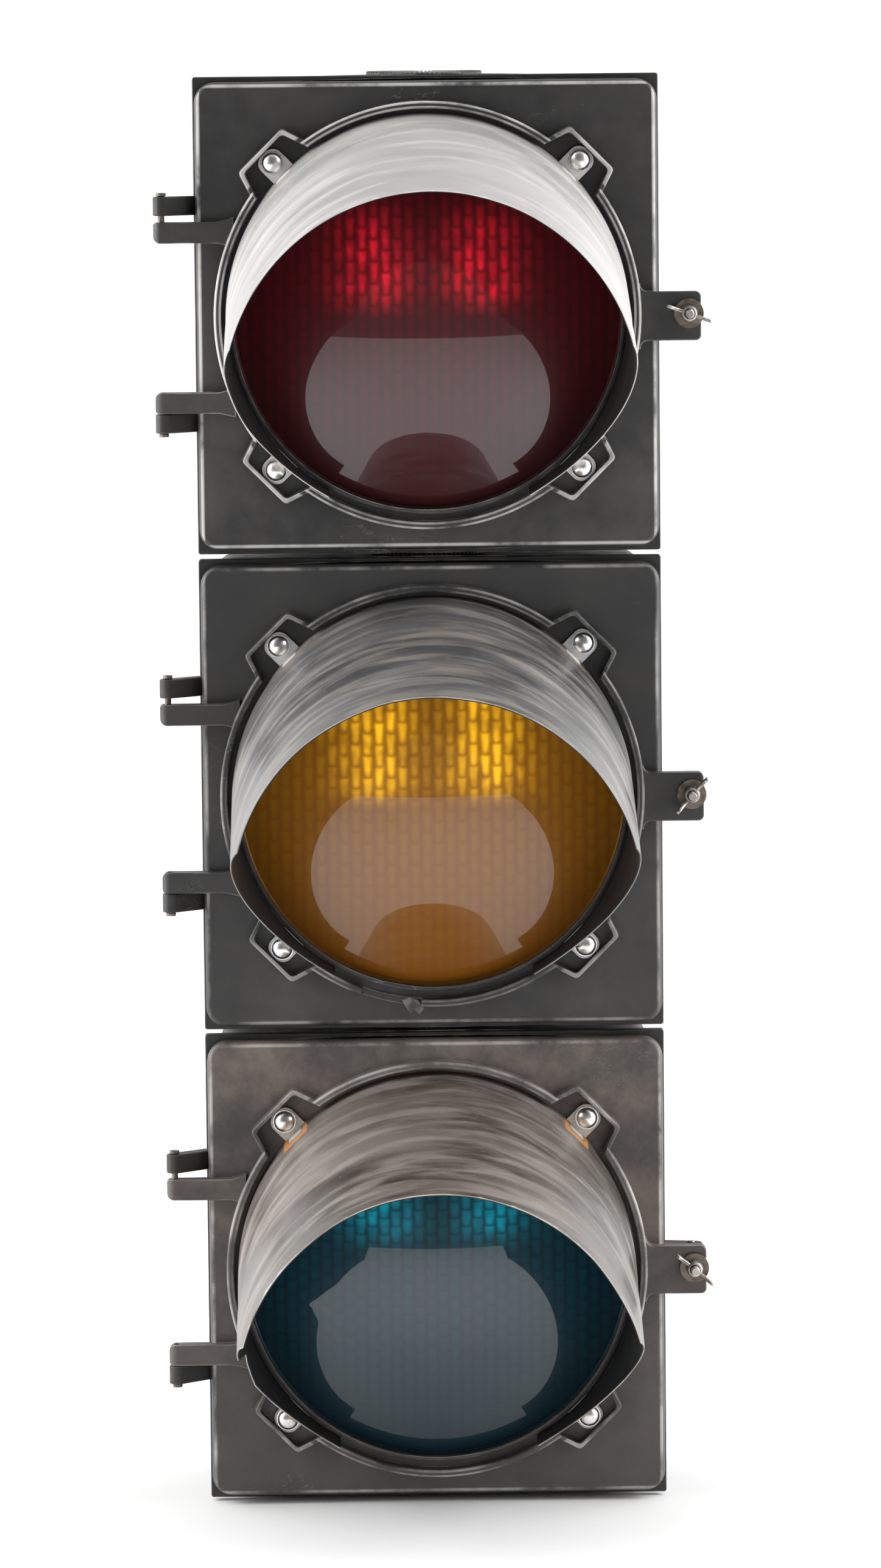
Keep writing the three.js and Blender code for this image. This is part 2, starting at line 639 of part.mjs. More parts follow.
// An insulated lead along a smooth route.
function lead(route) {
  const path = new THREE.CatmullRomCurve3(route.map((point) => new THREE.Vector3(...point)));
  const section = new THREE.Shape();
  section.absarc(0, 0, LEAD.radius, 0, 2 * Math.PI);
  return solid(new THREE.ExtrudeGeometry(section, {
    extrudePath: path, steps: LEAD.steps, curveSegments: LEAD.sides / 2,
  }));
}

// ---------- assembly ----------

function doorUnit(section) {
  const group = new THREE.Group();
  const lensFinish = { color: section.lens, roughness: 0.12, metalness: 0 };
  group.add(
    named(`door_${section.colour}`, door(), FINISHES.door),
    named(`door_gasket_${section.colour}`, doorGasket(), FINISHES.rubber),
    named(`lens_${section.colour}`, lens(), lensFinish),
    named(`lens_gasket_${section.colour}`, lensGasket(), FINISHES.rubber),
    named(`visor_${section.colour}`, visor(), FINISHES.visor),
  );
  return group;
}

function latchUnit(section) {
  const group = new THREE.Group();
  group.add(
    named(`latch_pin_${section.colour}`, latchPin(), FINISHES.steel),
    named(`eyebolt_${section.colour}`, eyebolt(), FINISHES.steel),
    named(`latch_washer_${section.colour}`, latchWasher(), FINISHES.steel),
    named(`wing_nut_${section.colour}`, wingNut(section.wingAngle), FINISHES.steel),
  );
  return group;
}

function lampUnit(section) {
  const group = new THREE.Group();
  group.add(
    named(`reflector_${section.colour}`, reflector(), FINISHES.reflector),
    named(`reflector_holder_${section.colour}`, reflectorHolder(), FINISHES.carrier),
    named(`lamp_socket_${section.colour}`, lampSocket(), FINISHES.socket),
    named(`lamp_${section.colour}`, lamp(), FINISHES.glass),
  );
  return group;
}

function sectionUnit(section) {
  const group = new THREE.Group();
  group.add(
    named(`housing_${section.colour}`, housing(section), FINISHES.housing),
    named(`hinge_pin_upper_${section.colour}`, upperPin(), FINISHES.steel),
    named(`hinge_pin_lower_${section.colour}`, lowerPin(), FINISHES.steel),
    doorUnit(section),
    latchUnit(section),
    lampUnit(section),
  );
  group.position.z = section.level * SECTION_PITCH;
  return group;
}

// The studs and plates that pull two housings together on their rings.
function couplingUnit(label, level) {
  const group = new THREE.Group();
  group.add(
    named(`coupling_studs_${label}`, couplingStuds(), FINISHES.steel),
    named(`coupling_plate_${label}`, upsideDown(couplingPlate(true)), FINISHES.steel),
  );
  group.position.set(0, WIRE_RING.depth, (level - 0.5) * SECTION_PITCH);
  return group;
}

// The leads run down the rear walls and through the wire entrances to the terminal block.
function wiring() {
  const group = new THREE.Group();
  const rear = SHELL.rear - SHELL.wall - 3 * LEAD.radius;
  const behindSocket = SOCKET.back + LEAD.radius + 1;
  const entrance = WIRE_RING.depth;
  const halfPitch = SECTION_PITCH / 2;
  const blockTop = TERMINAL.z + TERMINAL.height / 2 + LEAD.radius + 1;
  const blockBottom = TERMINAL.z - TERMINAL.height / 2 - LEAD.radius - 1;
  const red = lead([
    [0, behindSocket, SECTION_PITCH], [6, rear, SECTION_PITCH - 30], [12, rear, SECTION_PITCH - 100],
    [8, 100, halfPitch + 28], [0, entrance + 2, halfPitch + 18], [0, entrance, halfPitch - 12],
    [3, entrance + 3, halfPitch - 27], [24, 100, 140], [40, rear - 2, 105], [42, rear, 0],
    [40, rear - 2, blockTop],
  ]);
  const amber = lead([
    [0, behindSocket, 0], [-4, rear, -25], [-8, rear, -70], [-8, rear - 2, blockTop],
  ]);
  const green = lead([
    [0, behindSocket, -SECTION_PITCH], [-30, rear, 30 - SECTION_PITCH], [-42, rear - 2, 90 - SECTION_PITCH],
    [-24, 100, 140 - SECTION_PITCH], [-3, entrance + 3, -halfPitch - 27], [0, entrance, -halfPitch - 12],
    [0, entrance + 2, -halfPitch + 18], [-10, 90, -halfPitch + 26], [-40, rear - 4, blockBottom],
  ]);
  group.add(
    named('lead_red', red, FINISHES.lead),
    named('lead_amber', amber, FINISHES.lead),
    named('lead_green', green, FINISHES.lead),
    named('terminal_block', terminalBlock(), FINISHES.socket),
  );
  group.position.z = SECTION_PITCH;
  return group;
}

const head = new THREE.Group();
for (const section of SECTIONS) head.add(sectionUnit(section));
head.add(couplingUnit('lower', 1), couplingUnit('upper', 2), wiring());

// The origin is the middle of the bottom of the whole head's box.
const box = new THREE.Box3().setFromObject(head);
const middle = box.getCenter(new THREE.Vector3());
head.position.set(-middle.x, -middle.y, -box.min.z);

export default head;
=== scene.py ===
"""Looks of the traffic signal head: fine meshes, weathered materials, studio and camera.

Each section is drawn in millimetres round its own centre, with the front of the housing flange at y = 0,
-y to the front, +x to the latch side and +z up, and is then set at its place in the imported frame.
"""
import math
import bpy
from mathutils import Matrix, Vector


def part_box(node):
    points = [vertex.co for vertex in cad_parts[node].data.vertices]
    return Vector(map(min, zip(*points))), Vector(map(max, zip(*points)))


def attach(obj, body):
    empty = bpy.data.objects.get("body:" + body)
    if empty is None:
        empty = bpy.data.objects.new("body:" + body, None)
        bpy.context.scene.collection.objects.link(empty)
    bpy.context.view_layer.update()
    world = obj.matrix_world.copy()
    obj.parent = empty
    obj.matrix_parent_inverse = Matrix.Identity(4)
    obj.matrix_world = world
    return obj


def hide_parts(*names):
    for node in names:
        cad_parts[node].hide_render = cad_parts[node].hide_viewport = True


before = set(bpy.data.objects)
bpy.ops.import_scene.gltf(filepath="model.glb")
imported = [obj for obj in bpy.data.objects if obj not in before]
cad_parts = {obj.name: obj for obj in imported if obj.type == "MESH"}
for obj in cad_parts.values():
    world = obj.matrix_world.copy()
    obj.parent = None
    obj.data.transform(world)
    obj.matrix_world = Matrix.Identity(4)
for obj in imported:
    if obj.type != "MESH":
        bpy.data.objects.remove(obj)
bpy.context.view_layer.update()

from types import SimpleNamespace as Sizes

import bpy
import bmesh
import numpy as np
from mathutils import Matrix, Vector, noise

MM = 0.001

# ---------- driving dimensions, millimetres ----------

COLOURS = ("green", "amber", "red")
TOP, BOTTOM = "red", "green"
HINGE_SIDE, LATCH_SIDE = -1, 1
TAB_ANGLES = (45, 135, 225, 315)

FLANGE = Sizes(width=342.9, height=351.8, corner=2, depth=10)
SHELL = Sizes(width=329, height=347, corner=16, crown=3.3, wall=3.2, rear=150, rear_round=12, draft=3)
RING = Sizes(depth=60, outer=43, bore=25.4, tooth=1.5, inside=169.5, teeth=72, half_pitch=177.8, gap=0.3)
POST = Sizes(offset=122, radius=5, front=11.4)

DOOR = Sizes(width=339.9, height=343.9, corner=15, back=-0.4, face=-15, round=4, wall=3.5, opening=143)
RIM = Sizes(outer=157.2, inner=151.8, front=-27)
LIP = Sizes(outer=145.8, front=-20)
LENS_SEAT = Sizes(inner=153, outer=156, front=-12.5, back=-2)
EAR = Sizes(reach=172.5, half_top=22.5, half_foot=31, wall=3.2, front=-25, foot=146)
PAD = Sizes(centre=159.5, radius=9.5, front=-17)

PIN = Sizes(x=-195, y=-18, radius=2.4, head=3.6, head_height=2.5)
KNUCKLE = Sizes(radius=6, inboard=-142, low_corner=5, high_corner=2.5, splay=12, flare=3)
DOOR_LUG = Sizes(centre=62.5, height=15.4)
BODY_LUG = Sizes(top=75, bottom=-70.7, height=14, foot_rear=14)

LATCH = Sizes(x=192, pivot=18, washer_back=-27.1, end=201.2)
LATCH_LUG = Sizes(top=16, bottom=-20, inboard=153.4, front=-26, back=-14, slot=6.5, corner=4, fillet=6, run=9)
CLEVIS = Sizes(inner=4, outer=11, radius=8.5, pin=2.8)
BOLT = Sizes(radius=3.175, eye=7.5, eye_half=3.6, end=-46, pitch=1.27, depth=0.45, chamfer=0.35)
WASHER = Sizes(outer=11, inner=3.6, thickness=1.6)
WING_NUT = Sizes(hub=6.6, height=8.5, bore=3.5, span=18, thickness=2.4, wing_height=12.5)
WING_ANGLES = {"green": -40, "amber": 48, "red": -20}

LENS = Sizes(radius=149.5, edge=2.6, front=-9.6, bulge=36, wall=4, dome=141)
LENS_GASKET = Sizes(outer=151.9, inner=144.5, front=-12.2, back=-3.4, lip=1.8)
DOOR_GASKET = Sizes(half_width=165.2, half_height=167.2, width=3.6, corner=11, front=-8, back=-0.6)

VISOR = Sizes(
    length=238, drop=50, base=-17.3, base_radius=148.6, front_radius=147.4, wall=1.4,
    cut_start=75, cut_end=150, lip=18, tab_half=10, tab_end=168.8, tab_corner=8, dent=0.01,
)
TEAR = Sizes(angle=-104, half_width=9, depth=32)
SCREW = Sizes(radius=7.9, height=6.4, washer=8.8)

REFLECTOR = Sizes(vertex=111, focal=45.3, rim=138, hole=24, wall=1.4, lip=143, lip_front=5)
HOLDER = Sizes(inner=139.6, outer=147, front=7, back=11, ear_half=8, ear_reach=180)
SOCKET = Sizes(front=110.2, flange_back=112.4, flange=30, barrel=19, bore=15.6, back=134, floor=130.6)
LAMP = Sizes(focus=66, bulb=32, neck=14.5, neck_y=100, base=13, thread=0.9, tip=129.5, tip_radius=5)

TERMINAL = Sizes(width=96, height=24, rear=145.9, front=130, z=-128, ways=6, slot=10, slot_depth=6)
COUPLING = Sizes(
    floor=8.7, plate=38, bore=14, thickness=5, circle=19.4, stud=3.6, reach=34, hole=4.2,
    nut=6.6, nut_height=5.2,
)
LEAD = Sizes(radius=2.5, sides=14, samples=10)

ROUND_SIDES = 160
SMALL_SIDES = 32
CORNER_STEPS = 6


# ---------- outlines ----------

def arc(cx, cy, radius, start, end, steps):
    """Points on an arc from one angle to another, in degrees."""
    angles = np.radians(np.linspace(start, end, steps + 1))
    return [(cx + radius * math.cos(a), cy + radius * math.sin(a)) for a in angles]


def panel(width, height, corner, crown=0.0):
    """A rounded rectangle whose top and bottom edges may bow outwards by the crown."""
    x, z = width / 2 - corner, height / 2 - corner
    bow = [(x * s, height / 2 + crown * (1 - s * s)) for s in np.linspace(0.9, -0.9, 13)] if crown else []
    upper = arc(x, z, corner, 0, 90, CORNER_STEPS) + bow + arc(-x, z, corner, 90, 180, CORNER_STEPS)
    return upper + [(-u, -v) for u, v in upper]


def oblong(left, right, low, high):
    return [(left, low), (right, low), (right, high), (left, high)]


def inset(outline, distance):
    """The outline moved inwards by a distance along its mitred corners."""
    points = np.array(outline, float)
    edges = np.roll(points, -1, axis=0) - points
    edges /= np.linalg.norm(edges, axis=1, keepdims=True)
    inward = np.stack([-edges[:, 1], edges[:, 0]], axis=1)
    mean = inward + np.roll(inward, 1, axis=0)
    mean /= np.linalg.norm(mean, axis=1, keepdims=True)
    stretch = np.clip(np.sum(mean * inward, axis=1, keepdims=True), 0.4, 1)
    return points + mean * distance / stretch


def softened(points, radius, steps=3, closed=True):
    """The outline with each corner rounded by a curve that starts a radius away from it."""
    points = [np.array(p, float) for p in points]
    result = []
    for i, corner in enumerate(points):
        if not closed and i in (0, len(points) - 1):
            result.append(tuple(corner))
            continue
        before, after = points[i - 1], points[(i + 1) % len(points)]
        reach = min(radius, 0.45 * np.linalg.norm(before - corner), 0.45 * np.linalg.norm(after - corner))
        start = corner + (before - corner) / np.linalg.norm(before - corner) * reach
        end = corner + (after - corner) / np.linalg.norm(after - corner) * reach
        for t in np.linspace(0, 1, steps + 1):
            result.append(tuple((1 - t) ** 2 * start + 2 * t * (1 - t) * corner + t * t * end))
    return result


def clockwise(outline):
    points = np.array(outline, float)
    following = np.roll(points, -1, axis=0)
    return np.sum(points[:, 0] * following[:, 1] - following[:, 0] * points[:, 1]) < 0


# ---------- meshes in millimetres ----------

def shell(vertices, faces):
    """A mesh of these corners and faces, with its normals pointing out."""
    mesh = bpy.data.meshes.new("shell")
    mesh.from_pydata([tuple(v) for v in vertices], [], [tuple(f) for f in faces])
    work = bmesh.new()
    work.from_mesh(mesh)
    bmesh.ops.remove_doubles(work, verts=work.verts, dist=1e-4)
    bmesh.ops.dissolve_degenerate(work, dist=1e-5, edges=work.edges)
    bmesh.ops.recalc_face_normals(work, faces=work.faces)
    work.to_mesh(mesh)
    work.free()
    return mesh


def quads(rings, size, closed=False):
    """Faces between neighbouring rings of points, and from the last ring to the first if they close."""
    faces = []
    for ring in range(rings if closed else rings - 1):
        here, there = ring * size, (ring + 1) % rings * size
        faces += [(here + i, here + (i + 1) % size, there + (i + 1) % size, there + i) for i in range(size)]
    return faces


def lofted(rings):
    """Matching closed rings of points joined into a closed skin with flat ends."""
    size = len(rings[0])
    vertices = [point for ring in rings for point in ring]
    ends = [range(size), range(len(vertices) - size, len(vertices))]
    return shell(vertices, ends + quads(len(rings), size))


def rounding_levels(radius, end, inwards):
    """How far an outline shrinks, and at what depth, as its end edge rounds over towards the end."""
    angles = np.radians(np.linspace(0, 90, 5)) if radius else [0]
    return [(radius * (1 - math.cos(a)), end + inwards * radius * (1 - math.sin(a))) for a in angles]


def prism(outline, low, high, place, round_low=0.0, round_high=0.0):
    """An outline carried from one depth to another, with its end edges rounded over."""
    outline = outline[::-1] if clockwise(outline) else outline
    levels = rounding_levels(round_low, low, 1)[::-1] + rounding_levels(round_high, high, -1)
    return lofted([[place(u, v, depth) for u, v in inset(outline, shrink)] for shrink, depth in levels])


def slab(outline, front, back, round_front=0.0, round_back=0.0):
    """An outline in x and z that runs from its front to its back."""
    return prism(outline, front, back, lambda u, v, d: (u, d, v), round_front, round_back)


def column(outline, bottom, top, rounding=0.0):
    """An outline in x and y that stands from its bottom to its top."""
    return prism(outline, bottom, top, lambda u, v, d: (u, v, d), rounding, rounding)


def turned(profile, sides=ROUND_SIDES):
    """A closed profile of radius and depth turned about the y axis."""
    angles = [2 * math.pi * step / sides for step in range(sides)]
    vertices = [(radius * math.sin(a), depth, radius * math.cos(a))
                for a in angles for radius, depth in profile]
    size = len(profile)
    faces = [face for face in quads(sides, size, closed=True)
             if profile[face[0] % size][0] or profile[face[1] % size][0]]
    return shell(vertices, faces)


def bar(radius, front, back, sides=SMALL_SIDES, rounding=0.0):
    """A round bar about the y axis with softened ends."""
    profile = [(0, front), (radius, front), (radius, back), (0, back)]
    return turned(softened(profile, rounding, closed=False) if rounding else profile, sides)


def band(inner, outer, front, back, sides=ROUND_SIDES, rounding=0.4):
    """A ring of rectangular section with softened edges."""
    return turned(softened(oblong(inner, outer, front, back), rounding), sides)


def moved(mesh, x=0.0, y=0.0, z=0.0, turn=None):
    """A copy of a mesh, turned about the y axis in degrees clockwise from the front, then shifted."""
    copy = mesh.copy()
    if turn:
        copy.transform(Matrix.Rotation(math.radians(turn), 4, "Y"))
    copy.transform(Matrix.Translation((x, y, z)))
    return copy


def upright(mesh, x=0.0, y=0.0):
    """A copy of a mesh turned about y, stood up along z and shifted in plan."""
    copy = mesh.copy()
    copy.transform(Matrix.Rotation(math.radians(90), 4, "X"))
    copy.transform(Matrix.Translation((x, y, 0)))
    return copy


def flipped(mesh, signs=(1, 1, -1)):
    """A mirrored copy of a mesh, top to bottom unless the signs of the axes say otherwise."""
    copy = mesh.copy()
    copy.transform(Matrix.Diagonal((*signs, 1)))
    copy.flip_normals()
    return copy


def together(*meshes):
    """Separate bodies kept as one mesh."""
    work = bmesh.new()
    for mesh in meshes:
        work.from_mesh(mesh)
    result = bpy.data.meshes.new("together")
    work.to_mesh(result)
    work.free()
    return result


def carved(base, adds=(), cuts=(), keeps=()):
    """The base joined with some bodies, cut by others and kept only inside the last."""
    scene = bpy.context.scene.collection
    holder = bpy.data.objects.new("carved", base.copy())
    scene.objects.link(holder)
    helpers = []
    for operation, bodies in (("UNION", adds), ("DIFFERENCE", cuts), ("INTERSECT", keeps)):
        for body in bodies:
            helper = bpy.data.objects.new("helper", body)
            scene.objects.link(helper)
            helpers.append(helper)
            modifier = holder.modifiers.new("carve", "BOOLEAN")
            modifier.operation, modifier.solver, modifier.object = operation, "MANIFOLD", helper
    bpy.context.view_layer.update()
    evaluated = holder.evaluated_get(bpy.context.evaluated_depsgraph_get())
    result = bpy.data.meshes.new_from_object(evaluated)
    for item in helpers + [holder]:
        bpy.data.objects.remove(item)
    return result


def spun(mesh):
    """A copy of a body at each of the four screw places."""
    return [moved(mesh, turn=angle) for angle in TAB_ANGLES]


# ---------- placing pieces in the frame ----------

def section_origin(colour):
    """The middle of a section's flange front, in metres, worked out from its lens and door seal."""
    low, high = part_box(f"lens_{colour}")
    seal_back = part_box(f"door_gasket_{colour}")[1].y
    return Vector(((low.x + high.x) / 2, seal_back - DOOR_GASKET.back * MM, (low.z + high.z) / 2))


ORIGINS = {colour: section_origin(colour) for colour in COLOURS}


def piece(name, mesh, origin, body, material, replaces=(), sharp=35.0):
    """Sets a mesh drawn in millimetres at its place, on its body and in its material."""
    mesh = mesh.copy()
    mesh.materials.clear()
    mesh.name = name
    mesh.transform(Matrix.Translation(origin) @ Matrix.Scale(MM, 4))
    mesh.polygons.foreach_set("use_smooth", [True] * len(mesh.polygons))
    mesh.set_sharp_from_angle(angle=math.radians(sharp))
    mesh.materials.append(material)
    obj = bpy.data.objects.new(name, mesh)
    bpy.context.scene.collection.objects.link(obj)
    weighted = obj.modifiers.new("weighted normals", "WEIGHTED_NORMAL")
    weighted.keep_sharp = True
    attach(obj, body)
    if replaces:
        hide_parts(*replaces)


# ---------- housing ----------

def shell_box(front, thickness):
    """The deep box of a housing, drawn in and rounded off at its rear; a thickness makes its cavity."""
    width, height = SHELL.width - 2 * thickness, SHELL.height - 2 * thickness
    rear, rounding = SHELL.rear - thickness, SHELL.rear_round - thickness
    corner = SHELL.corner - thickness
    rings = [[(u, front, v) for u, v in panel(width, height, corner, SHELL.crown)]]
    for angle in np.radians(np.linspace(0, 90, 7)):
        shrink = 2 * (SHELL.draft + rounding * (1 - math.cos(angle)))
        depth = rear - rounding + rounding * math.sin(angle)
        outline = panel(width - shrink, height - shrink, corner, SHELL.crown)
        rings.append([(u, depth, v) for u, v in outline])
    return lofted(rings)


def ring_seat(bare):
    """The seat of a wire entrance on top of a housing, with its circle of teeth."""
    top = RING.half_pitch + (RING.tooth / 2 if bare else -RING.gap / 2)
    steps = 4 * RING.teeth
    radii = (RING.bore, RING.bore + 5.6, RING.outer - 0.8, RING.outer)
    vertices = []
    for step in range(steps):
        angle = 2 * math.pi * step / steps
        root = top - RING.tooth * (1.0, 0.55, 0.0, 0.55)[step % 4]
        heights = (top - RING.tooth, root, root, root - 0.6)
        rim = [(r, z) for r, z in zip(radii, heights)] + [(RING.outer, RING.inside), (RING.bore, RING.inside)]
        vertices += [(r * math.cos(angle), r * math.sin(angle) + RING.depth, z) for r, z in rim]
    return shell(vertices, quads(steps, len(rim), closed=True))


def lug_plan(side, pin_x, pin_y, radius, foot_front, foot_rear):
    """A lug in plan: a foot on the side of the housing that runs out to a round end about a pin."""
    foot = side * (SHELL.width / 2 - SHELL.wall / 2)
    lean = math.degrees(math.atan2((foot_front + foot_rear) / 2 - pin_y, foot - pin_x))
    round_end = arc(pin_x, pin_y, radius, lean + side * 90, lean + side * 270, 14)
    return [(foot, foot_front)] + round_end + [(foot, foot_rear)]


def pin_hole(x, y, radius):
    return upright(bar(radius, -RING.half_pitch, RING.half_pitch, SMALL_SIDES), x, y)


def housing_lugs():
    """Hinge lugs on one side and the forked latch lug on the other."""
    hinge = lug_plan(HINGE_SIDE, PIN.x, PIN.y, KNUCKLE.radius, 0.5, BODY_LUG.foot_rear)
    latch = lug_plan(LATCH_SIDE, LATCH.x, LATCH.pivot, CLEVIS.radius, 4, 2 * LATCH.pivot - 4)
    fork = column(latch, CLEVIS.inner, CLEVIS.outer, 0.8)
    return [
        column(hinge, BODY_LUG.top, BODY_LUG.top + BODY_LUG.height, 1.0),
        column(hinge, BODY_LUG.bottom - BODY_LUG.height, BODY_LUG.bottom, 1.0),
        fork, flipped(fork),
    ]


def holder_posts():
    post = bar(POST.radius, POST.front, SHELL.rear - SHELL.wall / 2, 24, 0.6)
    return [moved(post, x=x, z=z) for x in (-POST.offset, POST.offset) for z in (-POST.offset, POST.offset)]


def housing(colour):
    flange = slab(panel(FLANGE.width, FLANGE.height, FLANGE.corner), 0, FLANGE.depth, 0.9, 1.2)
    entrance = moved(upright(bar(RING.bore, -400, 400, 96)), y=RING.depth)
    holes = [
        pin_hole(PIN.x, PIN.y, PIN.radius + RING.gap),
        pin_hole(LATCH.x, LATCH.pivot, CLEVIS.pin + RING.gap),
    ]
    cuts = [shell_box(-FLANGE.depth, SHELL.wall), entrance] + holes
    hollow = carved(flange, adds=[shell_box(FLANGE.depth / 2, 0)] + housing_lugs(), cuts=cuts)
    seats = [ring_seat(colour == TOP), flipped(ring_seat(colour == BOTTOM))]
    return carved(hollow, adds=seats + holder_posts())


# ---------- door ----------

def door_outline(shrink=0.0):
    return panel(DOOR.width - 2 * shrink, DOOR.height - 2 * shrink, DOOR.corner - shrink)


def flared(outline, front, back, flare):
    """A cutter whose mouth opens out over a worn, rounded edge."""
    outline = outline[::-1] if clockwise(outline) else outline
    levels = [(-flare, front - 3)]
    for angle in np.radians(np.linspace(0, 90, 5)):
        levels.append((-flare * (1 - math.sin(angle)), front + flare * (1 - math.cos(angle))))
    levels.append((0, back))
    return lofted([[(u, depth, v) for u, v in inset(outline, grow)] for grow, depth in levels])


def ear_outline(shrink):
    side = 0.8 * shrink
    return softened([
        (-EAR.half_foot + shrink, EAR.foot), (EAR.half_foot - shrink, EAR.foot),
        (EAR.half_top - side, EAR.reach - shrink), (-EAR.half_top + side, EAR.reach - shrink),
    ], 3.0)


def door_rim():
    """The raised rim round the lens with its ears, tab pads and inner lip."""
    floor = DOOR.face + 1
    ear = slab(ear_outline(0), EAR.front, floor, 1.2)
    wall = carved(bar(RIM.outer, RIM.front, floor, ROUND_SIDES, 2.0), adds=spun(ear))
    groove = flared(arc(0, 0, RIM.inner, 0, 360, ROUND_SIDES)[:-1], RIM.front, DOOR.face, 1.8)
    pocket = flared(ear_outline(EAR.wall), EAR.front, DOOR.face, 1.0)
    pad = moved(bar(PAD.radius, PAD.front, floor, SMALL_SIDES, 0.6), z=PAD.centre)
    rim = carved(wall, cuts=[groove] + spun(pocket))
    return carved(rim, adds=spun(pad) + [bar(LIP.outer, LIP.front, floor, ROUND_SIDES, 1.0)])


def door_hinge_lugs():
    """The door's two knuckles, rounded at their outer corners and blended into the rim."""
    round_end = arc(PIN.x, PIN.y, KNUCKLE.radius, 90, 270, 14)
    low, high = PIN.y - KNUCKLE.radius, PIN.y + KNUCKLE.radius
    plan = [(KNUCKLE.inboard, low), (KNUCKLE.inboard, high)] + round_end
    half, end = DOOR_LUG.height / 2, PIN.x - KNUCKLE.radius
    bottom, top = DOOR_LUG.centre - half, DOOR_LUG.centre + half
    round_low, round_high, flare = KNUCKLE.low_corner, KNUCKLE.high_corner, KNUCKLE.flare
    front = arc(end + round_low, bottom + round_low, round_low, 180, 270, 6)
    front += [(KNUCKLE.inboard - KNUCKLE.splay, bottom), (KNUCKLE.inboard, bottom - flare)]
    front += [(KNUCKLE.inboard, top + flare), (KNUCKLE.inboard - KNUCKLE.splay, top)]
    front += arc(end + round_high, top - round_high, round_high, 90, 180, 4)
    upper = carved(column(plan, bottom - flare - 1, top + flare + 1), keeps=[slab(front, low - 1, high + 1)])
    return [upper, flipped(upper)]


def door_latch_lug():
    """The lug on the latch side, with the slot that the swing bolt drops into."""
    size = LATCH_LUG
    fillet = size.fillet
    blend = arc(size.inboard + size.run, size.top + fillet, fillet, 180, 270, 5)
    outline = [(size.inboard, size.bottom - fillet)]
    outline += arc(size.inboard + size.run, size.bottom - fillet, fillet, 180, 90, 5)
    outline += arc(LATCH.end - size.corner, size.bottom + size.corner, size.corner, -90, 0, 5)
    outline += [(LATCH.end, -size.slot)] + arc(LATCH.x, 0, size.slot, 270, 90, 16) + [(LATCH.end, size.slot)]
    outline += arc(LATCH.end - size.corner, size.top - size.corner, size.corner, 0, 90, 5)
    outline += blend[::-1] + [(size.inboard, size.top + fillet)]
    return slab(outline, size.front, size.back, 1.2, 0.5)


def door():
    plate = slab(door_outline(), DOOR.face, DOOR.back, DOOR.round, 0.4)
    floor = DOOR.face + DOOR.wall
    seat = bar(LENS_SEAT.outer, DOOR.face + 0.5, LENS_SEAT.back, ROUND_SIDES)
    pan = slab(door_outline(DOOR.wall), floor, 1)
    pocket = carved(pan, cuts=[bar(LENS_SEAT.outer, DOOR.face - 1, 2, ROUND_SIDES)])
    well = bar(LENS_SEAT.inner, LENS_SEAT.front, 1, ROUND_SIDES)
    above = band(LENS_SEAT.inner - 1, LENS_SEAT.outer + 1, LENS_SEAT.back, 1, ROUND_SIDES, 0)
    opening = bar(DOOR.opening, RIM.front - 1, 1, ROUND_SIDES)
    holes = [pin_hole(PIN.x, PIN.y, PIN.radius + RING.gap)]
    adds = [door_rim(), seat] + door_hinge_lugs() + [door_latch_lug()]
    return carved(plate, adds=adds, cuts=[pocket, well, above, opening] + holes)


def broken_rim():
    """The jagged gap where a piece has broken out of the foot of the rim."""
    jagged = [(-52, -138), (-55, -147), (-47, -152), (-43, -160), (-33, -157), (-26, -163), (-17, -158),
              (-12, -162), (-9, -152), (-13, -145), (-20, -140)]
    return slab(jagged, RIM.front - 1, DOOR.face - 2.5)


def rim_flake():
    """The loose splinter that still hangs in the gap of the broken rim."""
    splinter = [(-24, -151), (-18, -149), (-12, -152), (-8, -158),
                (-11, -163), (-15, -160), (-18, -162), (-22, -156)]
    flake = slab(splinter, RIM.front + 1, RIM.front + 2.4, 0.5, 0.3)
    middle, lean = Vector((-20, -25, -156)), 0.24
    flake.transform(Matrix.Translation(middle) @ Matrix.Rotation(lean, 4, "X") @ Matrix.Translation(-middle))
    return flake


def door_gasket():
    size = DOOR_GASKET
    width, height = 2 * size.half_width, 2 * size.half_height
    outer = panel(width, height, size.corner)
    inner = panel(width - 2 * size.width, height - 2 * size.width, size.corner - size.width)
    middle = slab(inner, size.front - 1, size.back + 1)
    return carved(slab(outer, size.front, size.back, 0.9, 0.3), cuts=[middle])


# ---------- lens ----------

PRISMS = {
    "red": Sizes(column=8.7, row=16.3, relief=0.9),
    "amber": Sizes(column=8.7, row=16.3, relief=0.9),
    "green": Sizes(column=8.7, row=12, relief=0.7),
}
PLAIN_BORDER = 12


def dome(share):
    return LENS.front - LENS.bulge * (1 - share * share)


